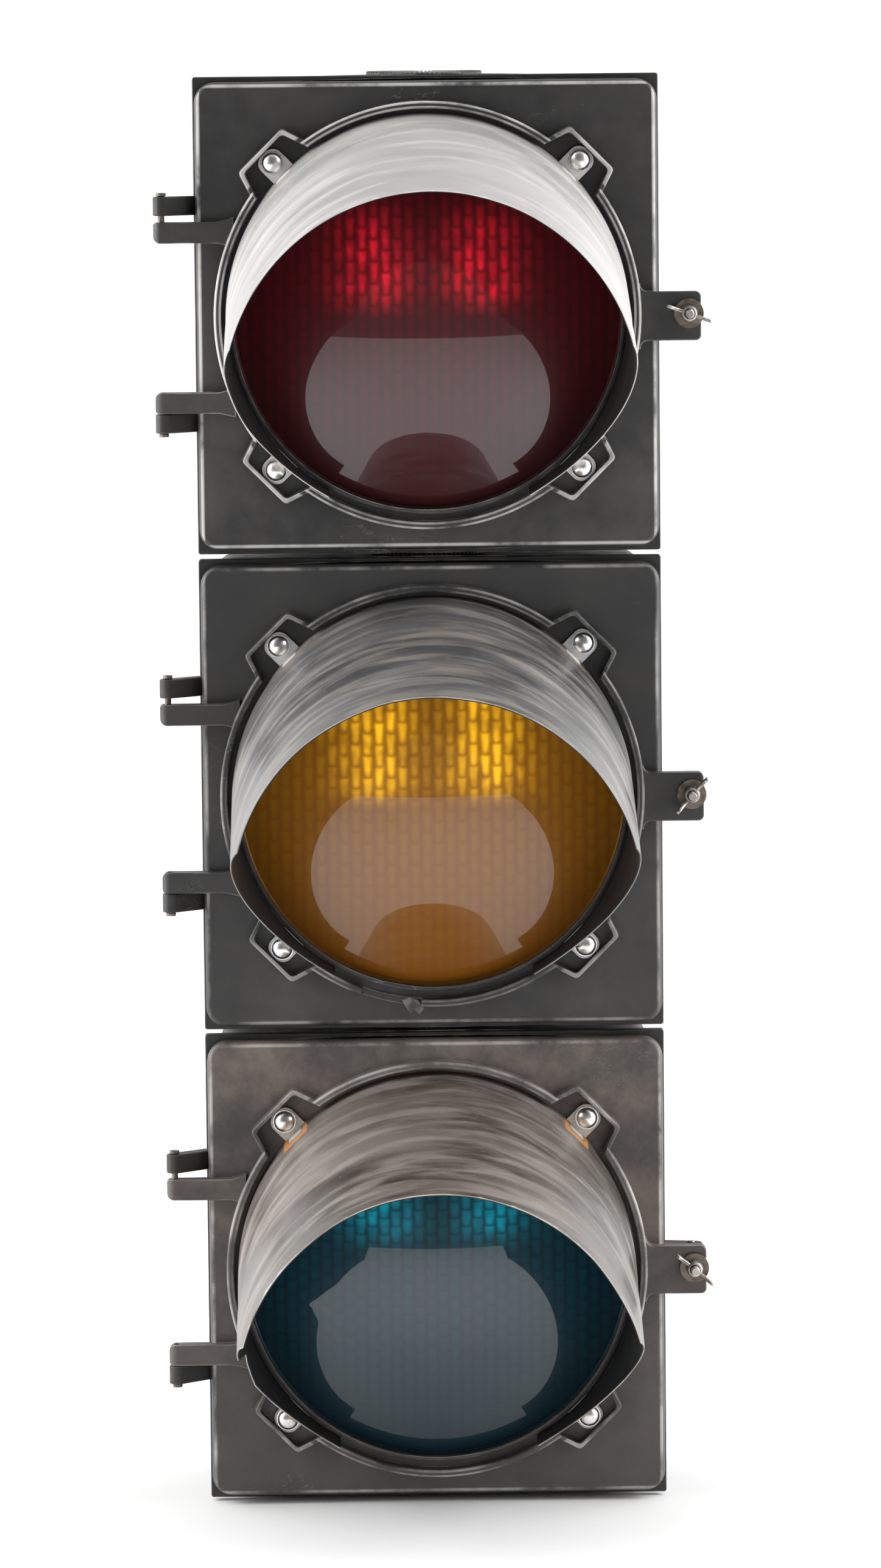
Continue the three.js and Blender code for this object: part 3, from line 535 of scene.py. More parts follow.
def lens(colour):
    """A bowed disc: smooth in front, and moulded with columns of little prisms behind."""
    prisms = PRISMS[colour]
    sides, steps = 300, 40
    vertices, faces = [(0, dome(0), 0)], []
    outer = [(LENS.dome * s, dome(s)) for s in np.linspace(0, 1, steps + 1)[1:]]
    back = LENS.front + LENS.edge
    edge = [(LENS.dome + 1, LENS.front), (LENS.radius, LENS.front), (LENS.radius, back), (LENS.dome, back)]
    inner = [((LENS.dome - LENS.wall) * s, dome(s) + LENS.wall) for s in np.linspace(1, 0, steps + 1)[:-1]]
    profile = outer + edge + inner
    for step in range(sides):
        angle = 2 * math.pi * step / sides
        for i, (radius, depth) in enumerate(profile):
            x, z = radius * math.sin(angle), radius * math.cos(angle)
            if i >= len(outer) + len(edge):
                column = abs(math.sin(math.pi * x / prisms.column))
                row = (z / prisms.row + 0.5 * (math.floor(x / prisms.column) % 2)) % 1
                depth += prisms.relief * (column + row - 1) * min(1, (LENS.dome - radius) / PLAIN_BORDER)
            vertices.append((x, depth, z))
    vertices.append((0, dome(0) + LENS.wall, 0))
    size, last = len(profile), len(vertices) - 1
    for step in range(sides):
        here, there = 1 + step * size, 1 + (step + 1) % sides * size
        faces += [(here + i, here + i + 1, there + i + 1, there + i) for i in range(size - 1)]
        faces += [(0, here, there), (last, there + size - 1, here + size - 1)]
    return shell(vertices, faces)


def lens_gasket():
    """The rubber channel that grips the lens edge."""
    size = LENS_GASKET
    low, high = LENS.front - RING.gap, LENS.front + LENS.edge + RING.gap
    inside = size.outer - size.lip
    return turned(softened([
        (size.inner, size.front), (size.outer, size.front), (size.outer, size.back), (size.inner, size.back),
        (size.inner, high), (inside, high), (inside, low), (size.inner, low),
    ], 0.5))


# ---------- visor ----------

def visor_reach(angle):
    """How far a visor reaches forwards at an angle from its top."""
    left = min(1, (VISOR.cut_end - abs(angle)) / (VISOR.cut_end - VISOR.cut_start))
    return VISOR.lip + (VISOR.length - VISOR.lip) * left * left


def visor_point(angle, reach, depth, seed):
    """A point on the visor's sheet, which tapers, slopes down and is slightly dented."""
    share = reach / VISOR.length
    radius = VISOR.base_radius + (VISOR.front_radius - VISOR.base_radius) * share - depth
    turn = math.radians(angle)
    x, z = radius * math.sin(turn), radius * math.cos(turn) - VISOR.drop * share
    dent = noise.noise(Vector((0.018 * x + 7 * seed, 0.012 * reach, 0.018 * z)))
    scale = 1 - VISOR.dent * max(0.0, dent) * min(1, share * 3)
    return (x * scale, VISOR.base - reach, z * scale)


def torn(angle, reach):
    """The reach left at the ragged bite out of the green visor's lower left corner."""
    ragged = 1 + 0.25 * noise.noise(Vector((angle * 0.35, 0, 3)))
    bite = TEAR.depth * max(0.0, 1 - abs(angle - TEAR.angle) / TEAR.half_width)
    return reach - bite * ragged


def tab_distance(angle, reach):
    """How far a place on the visor's skin is from the root of the nearest tab."""
    turn = min(abs((angle - tab + 180) % 360 - 180) for tab in TAB_ANGLES)
    return max(1.8 * math.radians(turn) * VISOR.base_radius, reach)


def visor_sheet(colour):
    """The visor's sheet, carrying how far each place is from a free edge and from a tab."""
    sides, steps = 260, 64
    seed = COLOURS.index(colour)
    vertices, edge, tab = [], [], []
    for i in range(sides + 1):
        angle = -VISOR.cut_end + 2 * VISOR.cut_end * i / sides
        reach = visor_reach(angle)
        reach = torn(angle, reach) if colour == "green" else reach
        stations = [reach * s / steps for s in range(steps + 1)]
        vertices += [visor_point(angle, r, 0, seed) for r in stations]
        vertices += [visor_point(angle, r, VISOR.wall, seed) for r in reversed(stations)]
        edge += [reach - r for r in stations + stations[::-1]]
        tab += [tab_distance(angle, r) for r in stations + stations[::-1]]
    size = 2 * (steps + 1)
    faces = quads(sides + 1, size)
    for first in (0, sides * size):
        last = first + size - 1
        faces += [(first + k, first + k + 1, last - 1 - k, last - k) for k in range(steps)]
    mesh = shell(vertices, faces)
    inside = [0.0] * (steps + 1) + [1.0] * (steps + 1)
    for name, values in (("edge", edge), ("tab", tab), ("inside", inside * (sides + 1))):
        mesh.attributes.new(name, "FLOAT", "POINT").data.foreach_set("value", values)
    return mesh


def visor_tab():
    """A foot bent out from the visor's base under its screw."""
    corner, foot = VISOR.tab_corner, VISOR.base_radius - 1.7
    end, half = VISOR.tab_end - corner, VISOR.tab_half - corner
    outline = [(-VISOR.tab_half, foot), (VISOR.tab_half, foot)]
    outline += arc(half, end, corner, 0, 90, 8) + arc(-half, end, corner, 90, 180, 8)
    return slab(outline, VISOR.base - VISOR.wall, VISOR.base, 0.3)


def screw():
    """A smooth domed screw on a thin washer."""
    seat = VISOR.base - VISOR.wall
    washer = bar(SCREW.washer, seat - 0.8, seat, SMALL_SIDES, 0.3)
    rise = [(SCREW.radius * math.cos(a), seat - 1.4 - SCREW.height * math.sin(a))
            for a in np.radians(np.linspace(0, 90, 13))]
    head = turned([(0, seat - 0.5), (SCREW.radius, seat - 0.5)] + rise[:-1] + [(0, rise[-1][1])], SMALL_SIDES)
    return moved(together(washer, head), z=PAD.centre)


# ---------- hinge pins and latch ----------

def hinge_pin(upper):
    low = DOOR_LUG.centre - DOOR_LUG.height / 2 + 1
    seat = (BODY_LUG.top + BODY_LUG.height if upper else BODY_LUG.height - BODY_LUG.bottom) + RING.gap
    top = seat + PIN.head_height
    profile = [(0, low), (PIN.radius, low), (PIN.radius, seat), (PIN.head, seat), (PIN.head, top), (0, top)]
    pin = upright(turned(softened(profile, 0.7, closed=False), SMALL_SIDES))
    return moved(pin if upper else flipped(pin), x=PIN.x, y=PIN.y)


def latch_pin():
    reach = CLEVIS.outer + 1.5
    return upright(bar(CLEVIS.pin, -reach, reach, SMALL_SIDES, 0.6), LATCH.x, LATCH.pivot)


def thread(radius, front, back):
    """A threaded bar about the y axis, with a real helix."""
    sides, per_turn, chamfered = 24, 6, 5
    rows = int((back - front) / BOLT.pitch * per_turn)
    rings = []
    for row in range(rows + 1):
        depth = front + (back - front) * row / rows
        groove = BOLT.depth * max(0, min(1, row / per_turn + 0.4, (rows - row) / per_turn))
        outside = radius - BOLT.chamfer * max(0, 1 - row / chamfered)
        ring = []
        for side in range(sides):
            phase = (depth / BOLT.pitch + side / sides) % 1
            r = outside - groove * abs(2 * phase - 1)
            angle = 2 * math.pi * side / sides
            ring.append((r * math.sin(angle), depth, r * math.cos(angle)))
        rings.append(ring)
    return lofted(rings)


def eyebolt():
    """The swing bolt: a flat eye and a threaded shank."""
    eye = moved(upright(bar(BOLT.eye, -BOLT.eye_half, BOLT.eye_half, 40, 1.0)), y=LATCH.pivot)
    neck = bar(BOLT.radius - 0.1, -6, LATCH.pivot - BOLT.eye / 2, 24)
    hole = pin_hole(0, LATCH.pivot, CLEVIS.pin + RING.gap)
    solid = carved(eye, adds=[neck], cuts=[hole])
    return moved(together(solid, thread(BOLT.radius, BOLT.end, -5)), x=LATCH.x)


def latch_washer():
    front = LATCH.washer_back - WASHER.thickness
    ring = band(WASHER.inner, WASHER.outer, front, LATCH.washer_back, 40, 0.35)
    return moved(ring, x=LATCH.x)


def wing_nut(angle):
    """A tapered hub with two upswept rounded wings, at the angle it was left at."""
    back = LATCH.washer_back - WASHER.thickness - RING.gap
    size = WING_NUT
    hub = turned(softened([
        (size.bore, back), (size.bore, back - size.height), (size.hub - 1.4, back - size.height),
        (size.hub - 0.6, back - 0.6 * size.height), (size.hub, back),
    ], 1.4), 40)
    wing = softened([
        (size.hub - 2.0, back - 2), (size.hub + 1, back - 1.8), (size.span - 2.5, back - 4.5),
        (size.span, back - 7), (size.span - 0.6, back - size.wing_height),
        (size.span - 4, back - size.wing_height), (size.hub + 1.6, back - size.height + 0.4),
        (size.hub - 2.0, back - size.height + 0.8),
    ], 2.2, 4)
    half = size.thickness / 2
    right = column(wing, -half, half, 0.7)
    nut = carved(hub, adds=[right, flipped(right, (-1, 1, 1))])
    return moved(nut, x=LATCH.x, turn=-angle)


# ---------- lamp unit ----------

def bowl_depth(radius):
    return REFLECTOR.vertex - radius * radius / (4 * REFLECTOR.focal)


def reflector():
    size = REFLECTOR
    radii = np.linspace(size.hole, size.rim, 30)
    inside = [(r, bowl_depth(r)) for r in radii]
    outside = []
    for r in radii:
        slope = r / (2 * size.focal)
        scale = size.wall / math.hypot(1, slope)
        outside.append((r + scale * slope, bowl_depth(r) + scale))
    outside[-1] = (outside[-1][0], size.lip_front + size.wall)
    lip = [(size.rim, size.lip_front), (size.lip, size.lip_front), (size.lip, size.lip_front + size.wall)]
    return turned(inside + lip + outside[::-1], 128)


def reflector_holder():
    size = HOLDER
    outline = softened(oblong(-size.ear_half, size.ear_half, size.outer - 3, size.ear_reach), 2.0)
    ears = spun(slab(outline, size.front, size.back, 0.4, 0.4))
    return carved(band(size.inner, size.outer, size.front, size.back, 96, 0.4), adds=ears)


def holder_screw():
    """A round-headed screw through an ear of the reflector holder."""
    return moved(bar(3.6, HOLDER.front - 2.4, HOLDER.front, 24, 1.2), z=math.hypot(POST.offset, POST.offset))


def lamp_socket():
    size = SOCKET
    return turned(softened([
        (size.bore, size.front), (size.flange, size.front), (size.flange, size.flange_back),
        (size.barrel, size.flange_back), (size.barrel, size.back), (0, size.back), (0, size.floor),
        (size.bore, size.floor),
    ], 0.5), 64)


def lamp_glass():
    size = LAMP
    angles = np.radians(np.linspace(0, 140, 24))
    profile = [(size.bulb * math.sin(a), size.focus - size.bulb * math.cos(a)) for a in angles]
    neck = [(size.neck, size.neck_y - 4), (size.neck - 0.4, size.neck_y + 3), (0, size.neck_y + 3)]
    return turned([(0, profile[0][1])] + profile[1:] + neck, 64)


def lamp_base():
    """The brass screw base with its rolled thread."""
    size = LAMP
    front, back = size.neck_y + 3.2, size.tip - 5
    profile = [(0, front), (size.base, front)]
    for i, depth in enumerate(np.linspace(front + 1, back - 1, 13)):
        profile.append((size.base - size.thread * (i % 2), depth))
    profile += [(size.base - 0.5, back), (size.tip_radius + 2, size.tip - 1), (size.tip_radius, size.tip),
                (0, size.tip)]
    return turned(softened(profile, 0.4, closed=False), 48)


# ---------- wiring and couplings ----------

def terminal_ways():
    """The sideways places of the terminals."""
    pitch = TERMINAL.width / TERMINAL.ways
    return [(way - (TERMINAL.ways - 1) / 2) * pitch for way in range(TERMINAL.ways)]


def terminal_block():
    size = TERMINAL
    half, low, high = size.width / 2, size.z - size.height / 2, size.z + size.height / 2
    block = slab(softened(oblong(-half, half, low, high), 1.2), size.front, size.rear, 0.6)
    slots = []
    for x in terminal_ways():
        outline = oblong(x - size.slot / 2, x + size.slot / 2, low - 5, high + 5)
        slots.append(slab(outline, size.front - 1, size.front + size.slot_depth))
    return carved(block, cuts=slots)


def terminal_screws():
    seat = TERMINAL.front + TERMINAL.slot_depth
    head = bar(3.2, seat - 2.6, seat, 20, 0.8)
    return together(*[moved(head, x=x, z=TERMINAL.z + z) for x in terminal_ways() for z in (-6, 6)])


def at_studs(radius, low, high, rounding=0.0):
    """An upright bar at each of the coupling's three studs."""
    places = arc(0, 0, COUPLING.circle, 90, 330, 2)
    return [upright(bar(radius, low, high, 24, rounding), x, y) for x, y in places]


def coupling_plate(holed):
    size = COUPLING
    top = size.floor + size.thickness
    disc = upright(bar(size.plate, size.floor, top, 72, 0.6))
    cuts = [upright(bar(size.bore, 0, 40, 48))]
    return carved(disc, cuts=cuts + (at_studs(size.hole, 0, 40) if holed else []))


def coupling_studs():
    size = COUPLING
    studs = at_studs(size.stud, size.floor + size.thickness - size.reach, size.floor + 1, 0.6)
    return carved(coupling_plate(False), adds=studs)


def coupling_nuts():
    """Hexagon nuts under the lower plate."""
    size = COUPLING
    top = -size.floor - size.thickness - 0.2
    nuts = []
    for (x, y), hole in zip(arc(0, 0, size.circle, 90, 330, 2), at_studs(size.stud + 0.1, -40, 0)):
        hexagon = arc(x, y, size.nut, 15, 315, 5)
        nuts.append(carved(column(hexagon, top - size.nut_height, top, 0.7), cuts=[hole]))
    return together(*nuts)


def lead_routes():
    """The leads' routes in the amber section's millimetres, from each socket to the terminal block."""
    pitch, half = 2 * RING.half_pitch, RING.half_pitch
    rear = SHELL.rear - SHELL.wall - 3 * LEAD.radius
    behind = SOCKET.back + LEAD.radius + 1
    way = RING.depth
    top = TERMINAL.z + TERMINAL.height / 2 + LEAD.radius + 1
    bottom = TERMINAL.z - TERMINAL.height / 2 - LEAD.radius - 1
    return {
        "red": [(0, behind, pitch), (6, rear, pitch - 30), (12, rear, pitch - 100), (8, 100, half + 28),
                (0, way + 2, half + 18), (0, way, half - 12), (3, way + 3, half - 27), (24, 100, 140),
                (40, rear - 2, 105), (42, rear, 0), (40, rear - 2, top)],
        "amber": [(0, behind, 0), (-4, rear, -25), (-8, rear, -70), (-8, rear - 2, top)],
        "green": [(0, behind, -pitch), (-30, rear, 30 - pitch), (-42, rear - 2, 90 - pitch),
                  (-24, 100, 140 - pitch), (-3, way + 3, -half - 27), (0, way, -half - 12),
                  (0, way + 2, -half + 18), (-10, 90, -half + 26), (-40, rear - 4, bottom)],
    }


def through(points):
    """A smooth path through some points."""
    points = [Vector(p) for p in points]
    ends = [points[0] * 2 - points[1]] + points + [points[-1] * 2 - points[-2]]
    path = []
    for a, b, c, d in zip(ends, ends[1:], ends[2:], ends[3:]):
        for t in np.arange(LEAD.samples) / LEAD.samples:
            bend = (2 * a - 5 * b + 4 * c - d) * t ** 2 + (3 * b - a - 3 * c + d) * t ** 3
            path.append(b + 0.5 * ((c - a) * t + bend))
    return path + [points[-1]]


def tube(path):
    """A lead's round insulation along a path."""
    angles = [2 * math.pi * k / LEAD.sides for k in range(LEAD.sides)]
    side = Vector((1, 0, 0))
    rings = []
    for i, point in enumerate(path):
        ahead = (path[min(i + 1, len(path) - 1)] - path[max(i - 1, 0)]).normalized()
        side = (side - ahead * side.dot(ahead)).normalized()
        other = ahead.cross(side)
        rings.append([point + (side * math.cos(a) + other * math.sin(a)) * LEAD.radius for a in angles])
    return lofted(rings)


# ---------- materials ----------

class Nodes:
    """Short ways to add and join the nodes of a material or of the world."""

    def __init__(self, owner, target, coordinates):
        owner.use_nodes = True
        self.owner, self.tree = owner, owner.node_tree
        self.target = self.tree.nodes[target]
        self.place = self.add("TexCoord", {}).outputs[coordinates]

    def join(self, value, socket):
        if hasattr(value, "is_linked"):
            self.tree.links.new(value, socket)
        else:
            socket.default_value = (*value, 1) if socket.type == "RGBA" else value

    def add(self, kind, inputs, **settings):
        """A node with its settings, and with its inputs joined or filled by name or number."""
        node = self.tree.nodes.new("ShaderNode" + kind)
        for key, value in settings.items():
            setattr(node, key, value)
        for key, value in inputs.items():
            self.join(value, node.inputs[key])
        return node

    def give(self, **inputs):
        """Joins or fills the shader's own sockets."""
        for key, value in inputs.items():
            self.join(value, self.target.inputs[key.replace("_", " ")])

    def scaled(self, scale, shift=(0, 0, 0)):
        inputs = {"Vector": self.place, "Scale": scale, "Location": shift}
        return self.add("Mapping", inputs).outputs["Vector"]

    def noise(self, scale, detail=4.0, roughness=0.55, vector=None, distortion=0.0):
        return self.add("TexNoise", {
            "Vector": vector or self.place, "Scale": scale, "Detail": detail, "Roughness": roughness,
            "Distortion": distortion,
        }).outputs["Fac"]

    def ramp(self, value, low, high, bottom=0.0, top=1.0):
        return self.add("MapRange", {
            "Value": value, "From Min": low, "From Max": high, "To Min": bottom, "To Max": top,
        }, interpolation_type="SMOOTHSTEP").outputs["Result"]

    def math(self, operation, first, second=0.0):
        return self.add("Math", {0: first, 1: second}, operation=operation).outputs[0]

    def times(self, first, second):
        return self.math("MULTIPLY", first, second)

    def plus(self, first, second):
        return self.math("ADD", first, second)

    def less(self, first, second):
        return self.math("SUBTRACT", first, second)

    def size(self, value):
        return self.math("ABSOLUTE", value)

    def hill(self, value, start, full, fade, end):
        """High between full and fade, and nothing before the start or after the end."""
        return self.times(self.ramp(value, start, full), self.ramp(value, end, fade))

    def blend(self, share, first, second):
        return self.add("Mix", {0: share, 6: first, 7: second}, data_type="RGBA").outputs[2]

    def axis(self, name):
        return self.add("SeparateXYZ", {0: self.place}).outputs[name]

    def offset(self, name, origin):
        """How far along an axis a place is from a section's origin, in millimetres."""
        return self.math("DIVIDE", self.less(self.axis(name), getattr(origin, name.lower())), MM)

    def attribute(self, name):
        return self.add("Attribute", {}, attribute_name=name).outputs["Fac"]

    def edges(self, radius):
        """High where the surface turns sharply within a radius."""
        rounded = self.add("Bevel", {"Radius": radius}, samples=4).outputs[0]
        plain = self.add("NewGeometry", {}).outputs["True Normal"]
        dot = self.add("VectorMath", {0: rounded, 1: plain}, operation="DOT_PRODUCT").outputs["Value"]
        return self.ramp(self.less(1.0, dot), 0.02, 0.25)

    def bump(self, height, strength, distance):
        node = self.add("Bump", {"Strength": strength, "Distance": distance, "Height": height})
        self.give(Normal=node.outputs["Normal"])


def surface(name):
    return Nodes(bpy.data.materials.new(name), "Principled BSDF", "Object")


def grey(level, warm=0.0):
    return (level * (1 + warm), level, level * (1 - warm))


def plastic(name, origin, look):
    """Black moulded plastic with haze, dust, scratches and pale edges, partly real wear and partly painted
    highlight.
    """
    n = surface(name)
    x, z = n.offset("X", origin), n.offset("Z", origin)
    # Haze share by height: more towards the bottom, or towards the top where a look says so.
    haze_by_height = n.ramp(z, 150, -170, look.dust_above, look.dust_below)
    haze = n.times(n.ramp(n.noise(11, 7, 0.68), 0.30, 0.72), haze_by_height)
    colour = n.blend(haze, look.base, look.dust)
    colour = n.blend(n.ramp(n.noise(480, 2), 0.68, 0.78, 0, 0.35), colour, grey(0.14, 0.08))
    line = n.size(n.less(n.noise(9, 5, 0.7, n.scaled((1, 1, 1.6), (3, 0, 0))), 0.5))
    scratch = n.times(n.ramp(line, 0.0035, 0.0012), n.ramp(n.noise(8, 2), 0.56, 0.62, 0, 0.5))
    colour = n.blend(scratch, colour, grey(0.16))
    worn = n.times(n.edges(1.6 * MM), n.ramp(n.noise(45, 4), 0.36, 0.62))
    # The crest lines are partly real wear and partly a painted highlight along the rim, its ears and the
    # door's rounded edge.
    crest_highlight = n.times(crest_highlight_mask(n, x, z, origin), n.ramp(n.noise(22, 5, 0.6), look.rubbed, look.rubbed + 0.3))
    rubbed = n.times(n.math("MAXIMUM", worn, crest_highlight), look.wear)
    gloss = n.ramp(n.plus(haze, n.noise(60, 3)), 0.3, 1.2, look.roughness, look.roughness + 0.3)
    n.give(Base_Color=n.blend(rubbed, colour, grey(0.50, 0.03)), Roughness=gloss)
    n.bump(n.noise(260, 4), 0.10, 0.0005)
    return n.owner


def crest_highlight_mask(n, x, z, origin):
    """High along the two edges of the door's rim, on its ears and where its rounded outer edge starts: a
    painted highlight, partly real wear.
    """
    y = n.offset("Y", origin)
    radius = n.math("SQRT", n.plus(n.times(x, x), n.times(z, z)))
    ring = n.hill(n.size(n.less(radius, (RIM.inner + RIM.outer) / 2)), 0.6, 1.4, 2.4, 3.2)
    ears = n.times(n.hill(radius, 160, 162, 177, 180), n.ramp(n.size(z), 50, 60))
    crest_highlight = n.times(n.ramp(y, -24.0, -24.8), n.math("MAXIMUM", ring, ears))
    across = n.less(n.size(x), DOOR.width / 2 - DOOR.round)
    along = n.less(n.size(z), DOOR.height / 2 - DOOR.round)
    line = n.hill(n.math("MAXIMUM", across, along), -0.6, 1.0, 1.6, 3.2)
    return n.math("MAXIMUM", crest_highlight, n.times(line, n.hill(y, -16.6, -15.8, -14.2, -13.2)))


def visor_finish(colour, look):
    """Painted aluminium sheet: curved streaks, chalked patches, dark inside, bare edges and tabs."""
    n = surface(f"visor {colour}")
    streaks = n.noise(3.2, 5, 0.55, n.scaled((4, 20, 4)), 0.5)
    fine = n.noise(9, 4, 0.6, n.scaled((3, 160, 3)))
    patches = n.noise(7, 5, 0.6, n.scaled((1, 2, 1)))
    paint = n.blend(n.ramp(patches, 0.32, 0.68), look.dark, look.light)
    paint = n.blend(n.ramp(streaks, 0.42, 0.72, 0, look.chalk), paint, look.streak)
    paint = n.blend(n.ramp(fine, 0.62, 0.78, 0, 0.22 * look.chalk), paint, look.bare)
    near_tab = n.plus(n.attribute("tab"), n.times(n.noise(70, 4), 5))
    rusted = n.blend(n.times(n.hill(near_tab, 16, 18, 23, 26), look.rust), paint, RUST)
    bared = n.blend(n.ramp(near_tab, 17, 12, 0, look.tab), rusted, look.bare)
    chips = n.less(n.attribute("edge"), n.times(n.ramp(n.noise(90, 4), 0.5, 0.75), 2.5))
    rim = n.times(n.ramp(chips, 0.5, 0.0), n.ramp(n.noise(30, 3), 0.3, 0.6, 0.25, look.wear))
    edged = n.blend(rim, bared, look.bare)
    outside = n.blend(n.ramp(n.noise(260, 3), 0.66, 0.74, 0, 0.4), edged, grey(0.30, 0.04))
    hidden = n.ramp(n.attribute("inside"), 0.4, 0.6)
    inner = n.blend(n.ramp(n.noise(24, 5), 0.4, 0.75), (0.004, 0.0035, 0.003), (0.012, 0.010, 0.008))
    gloss = n.ramp(n.plus(streaks, patches), 0.6, 1.4, look.roughness, look.roughness + 0.25)
    n.give(Base_Color=n.blend(hidden, outside, inner), Roughness=n.plus(gloss, n.times(hidden, 0.3)),
           Specular_IOR_Level=look.shine)
    n.bump(n.plus(n.noise(14, 4), n.times(fine, 0.06)), 0.2, 0.0009)
    return n.owner


def lens_plastic(colour, look):
    """A coloured lens: dark prisms with a painted highlight and a painted glow in two lobes above the middle,
    under a clear smooth face.
    """
    n = surface(f"lens {colour}")
    x, z = n.offset("X", ORIGINS[colour]), n.offset("Z", ORIGINS[colour])
    columns = n.math("DIVIDE", x, PRISMS[colour].column)
    odd = n.math("MODULO", n.size(n.math("FLOOR", columns)), 2)
    across = n.size(n.less(n.math("FRACT", columns), 0.5))
    along = n.math("FRACT", n.plus(n.math("DIVIDE", z, PRISMS[colour].row), n.times(odd, 0.5)))
    width = n.plus(look.slit, n.times(along, 0.14))
    cell = n.times(n.ramp(n.less(width, across), -0.22, 0.20), n.hill(along, -0.10, 0.22, 0.84, 1.08))
    # The painted highlight: bright prism cells in two lobes above the middle, uneven from place to place.
    highlight_cell = n.plus(look.floor, n.times(cell, 1 - look.floor))
    spread = n.math("DIVIDE", n.less(n.size(x), look.lobe), look.width)
    lobe = n.math("POWER", math.e, n.times(-1.0, n.times(spread, spread)))
    lift = n.hill(z, look.low, look.low + 26, look.high - 50, look.high)
    uneven = n.ramp(n.noise(60, 2), 0.25, 0.7, 0.45, 1.0)
    painted_highlight = n.times(n.times(lobe, lift), n.times(highlight_cell, uneven))
    # A faint painted highlight on every prism cell, stronger upwards.
    faint = n.times(n.times(cell, look.faint), n.ramp(z, -170, 60))
    # The ground colour is darker towards the bottom.
    ground = n.blend(n.ramp(z, -110, 60), look.deep, look.shade)
    tint = n.blend(n.math("MINIMUM", n.plus(painted_highlight, faint), 1.0), ground, look.bright)
    # The painted highlight is also emitted: a painted glow in a lens that is no lamp.
    n.give(Base_Color=tint, Emission_Color=tint, Emission_Strength=n.times(painted_highlight, look.glow), Roughness=0.4,
           Coat_Weight=1.0, Coat_Roughness=0.03, Coat_IOR=1.6, IOR=1.45, Specular_IOR_Level=0.25)
    n.bump(n.plus(across, along), 0.12, 0.0005)
    return n.owner


def metal(name, colour, roughness, tarnish, spots=0.25):
    n = surface(name)
    dull = n.ramp(n.noise(120, 5, 0.65), 0.4, 0.75, 0, 0.85)
    gloss = n.ramp(n.noise(200, 4), 0.3, 0.8, roughness, roughness + spots)
    n.give(Base_Color=n.blend(dull, colour, tarnish), Metallic=1.0, Roughness=gloss)
    n.bump(n.noise(500, 3), 0.08, 0.0003)
    return n.owner


def spun_aluminium():
    n = surface("spun aluminium")
    rings = n.noise(40, 3, 0.6, n.scaled((0.6, 14, 0.6)))
    n.give(Base_Color=n.blend(n.ramp(rings, 0.3, 0.7), grey(0.82), grey(0.66, 0.02)), Metallic=1.0,
           Roughness=n.ramp(rings, 0.3, 0.7, 0.10, 0.2))
    n.bump(rings, 0.1, 0.0004)
    return n.owner


def rubber(name, level):
    n = surface(name)
    bloom = n.ramp(n.noise(40, 5), 0.4, 0.8, 0, 0.6)
    n.give(Base_Color=n.blend(bloom, grey(level), grey(level * 2.6, 0.06)), Roughness=0.75)
    n.bump(n.noise(300, 4), 0.2, 0.0004)
    return n.owner


def moulded(name, colour, light):
    n = surface(name)
    n.give(Base_Color=n.blend(n.ramp(n.noise(60, 6, 0.7), 0.35, 0.7), colour, light),
           Roughness=n.ramp(n.noise(90, 3), 0.3, 0.8, 0.4, 0.65))
    n.bump(n.noise(350, 3), 0.1, 0.0004)
    return n.owner


def clear_glass():
    n = surface("lamp glass")
    n.give(Base_Color=n.blend(n.ramp(n.noise(60, 4), 0.4, 0.8), (0.96, 0.97, 0.97), (0.8, 0.8, 0.78)),
           Roughness=0.05, Transmission_Weight=0.9, IOR=1.45)
    return n.owner


def insulation(name, colour):
    n = surface(name)
    grime = n.ramp(n.noise(90, 4), 0.4, 0.8, 0, 0.6)
    n.give(Base_Color=n.blend(grime, colour, grey(0.25, 0.08)), Roughness=0.5)
    n.bump(n.noise(500, 2), 0.08, 0.0003)
    return n.owner


def by_colour(make, looks):
    """One material for each section's colour."""
    return {colour: make(colour, look) for colour, look in looks.items()}


RUST = (0.46, 0.20, 0.06)
# In the plastic looks, wear sets the worn edges and the painted highlight lines together.
HOUSING_PLASTIC = plastic("housing plastic", ORIGINS["amber"], Sizes(
    base=grey(0.016), dust=(0.070, 0.061, 0.052), roughness=0.42, wear=0.6,
    dust_above=0.25, dust_below=0.7, rubbed=0.36))
DOOR_PLASTIC = by_colour(lambda colour, look: plastic(f"door plastic {colour}", ORIGINS[colour], look), {
    "red": Sizes(base=grey(0.022), dust=(0.095, 0.085, 0.080), roughness=0.38, wear=1.0,
                 dust_above=0.25, dust_below=0.7, rubbed=0.26),
    "amber": Sizes(base=grey(0.026), dust=(0.085, 0.074, 0.068), roughness=0.38, wear=0.5,
                   dust_above=0.25, dust_below=0.7, rubbed=0.36),
    "green": Sizes(base=(0.050, 0.043, 0.040), dust=(0.24, 0.20, 0.175), roughness=0.40, wear=0.7,
                   dust_above=0.9, dust_below=0.15, rubbed=0.36),
})
FLAKE_PLASTIC = moulded("broken plastic", grey(0.05, 0.02), grey(0.22, 0.02))
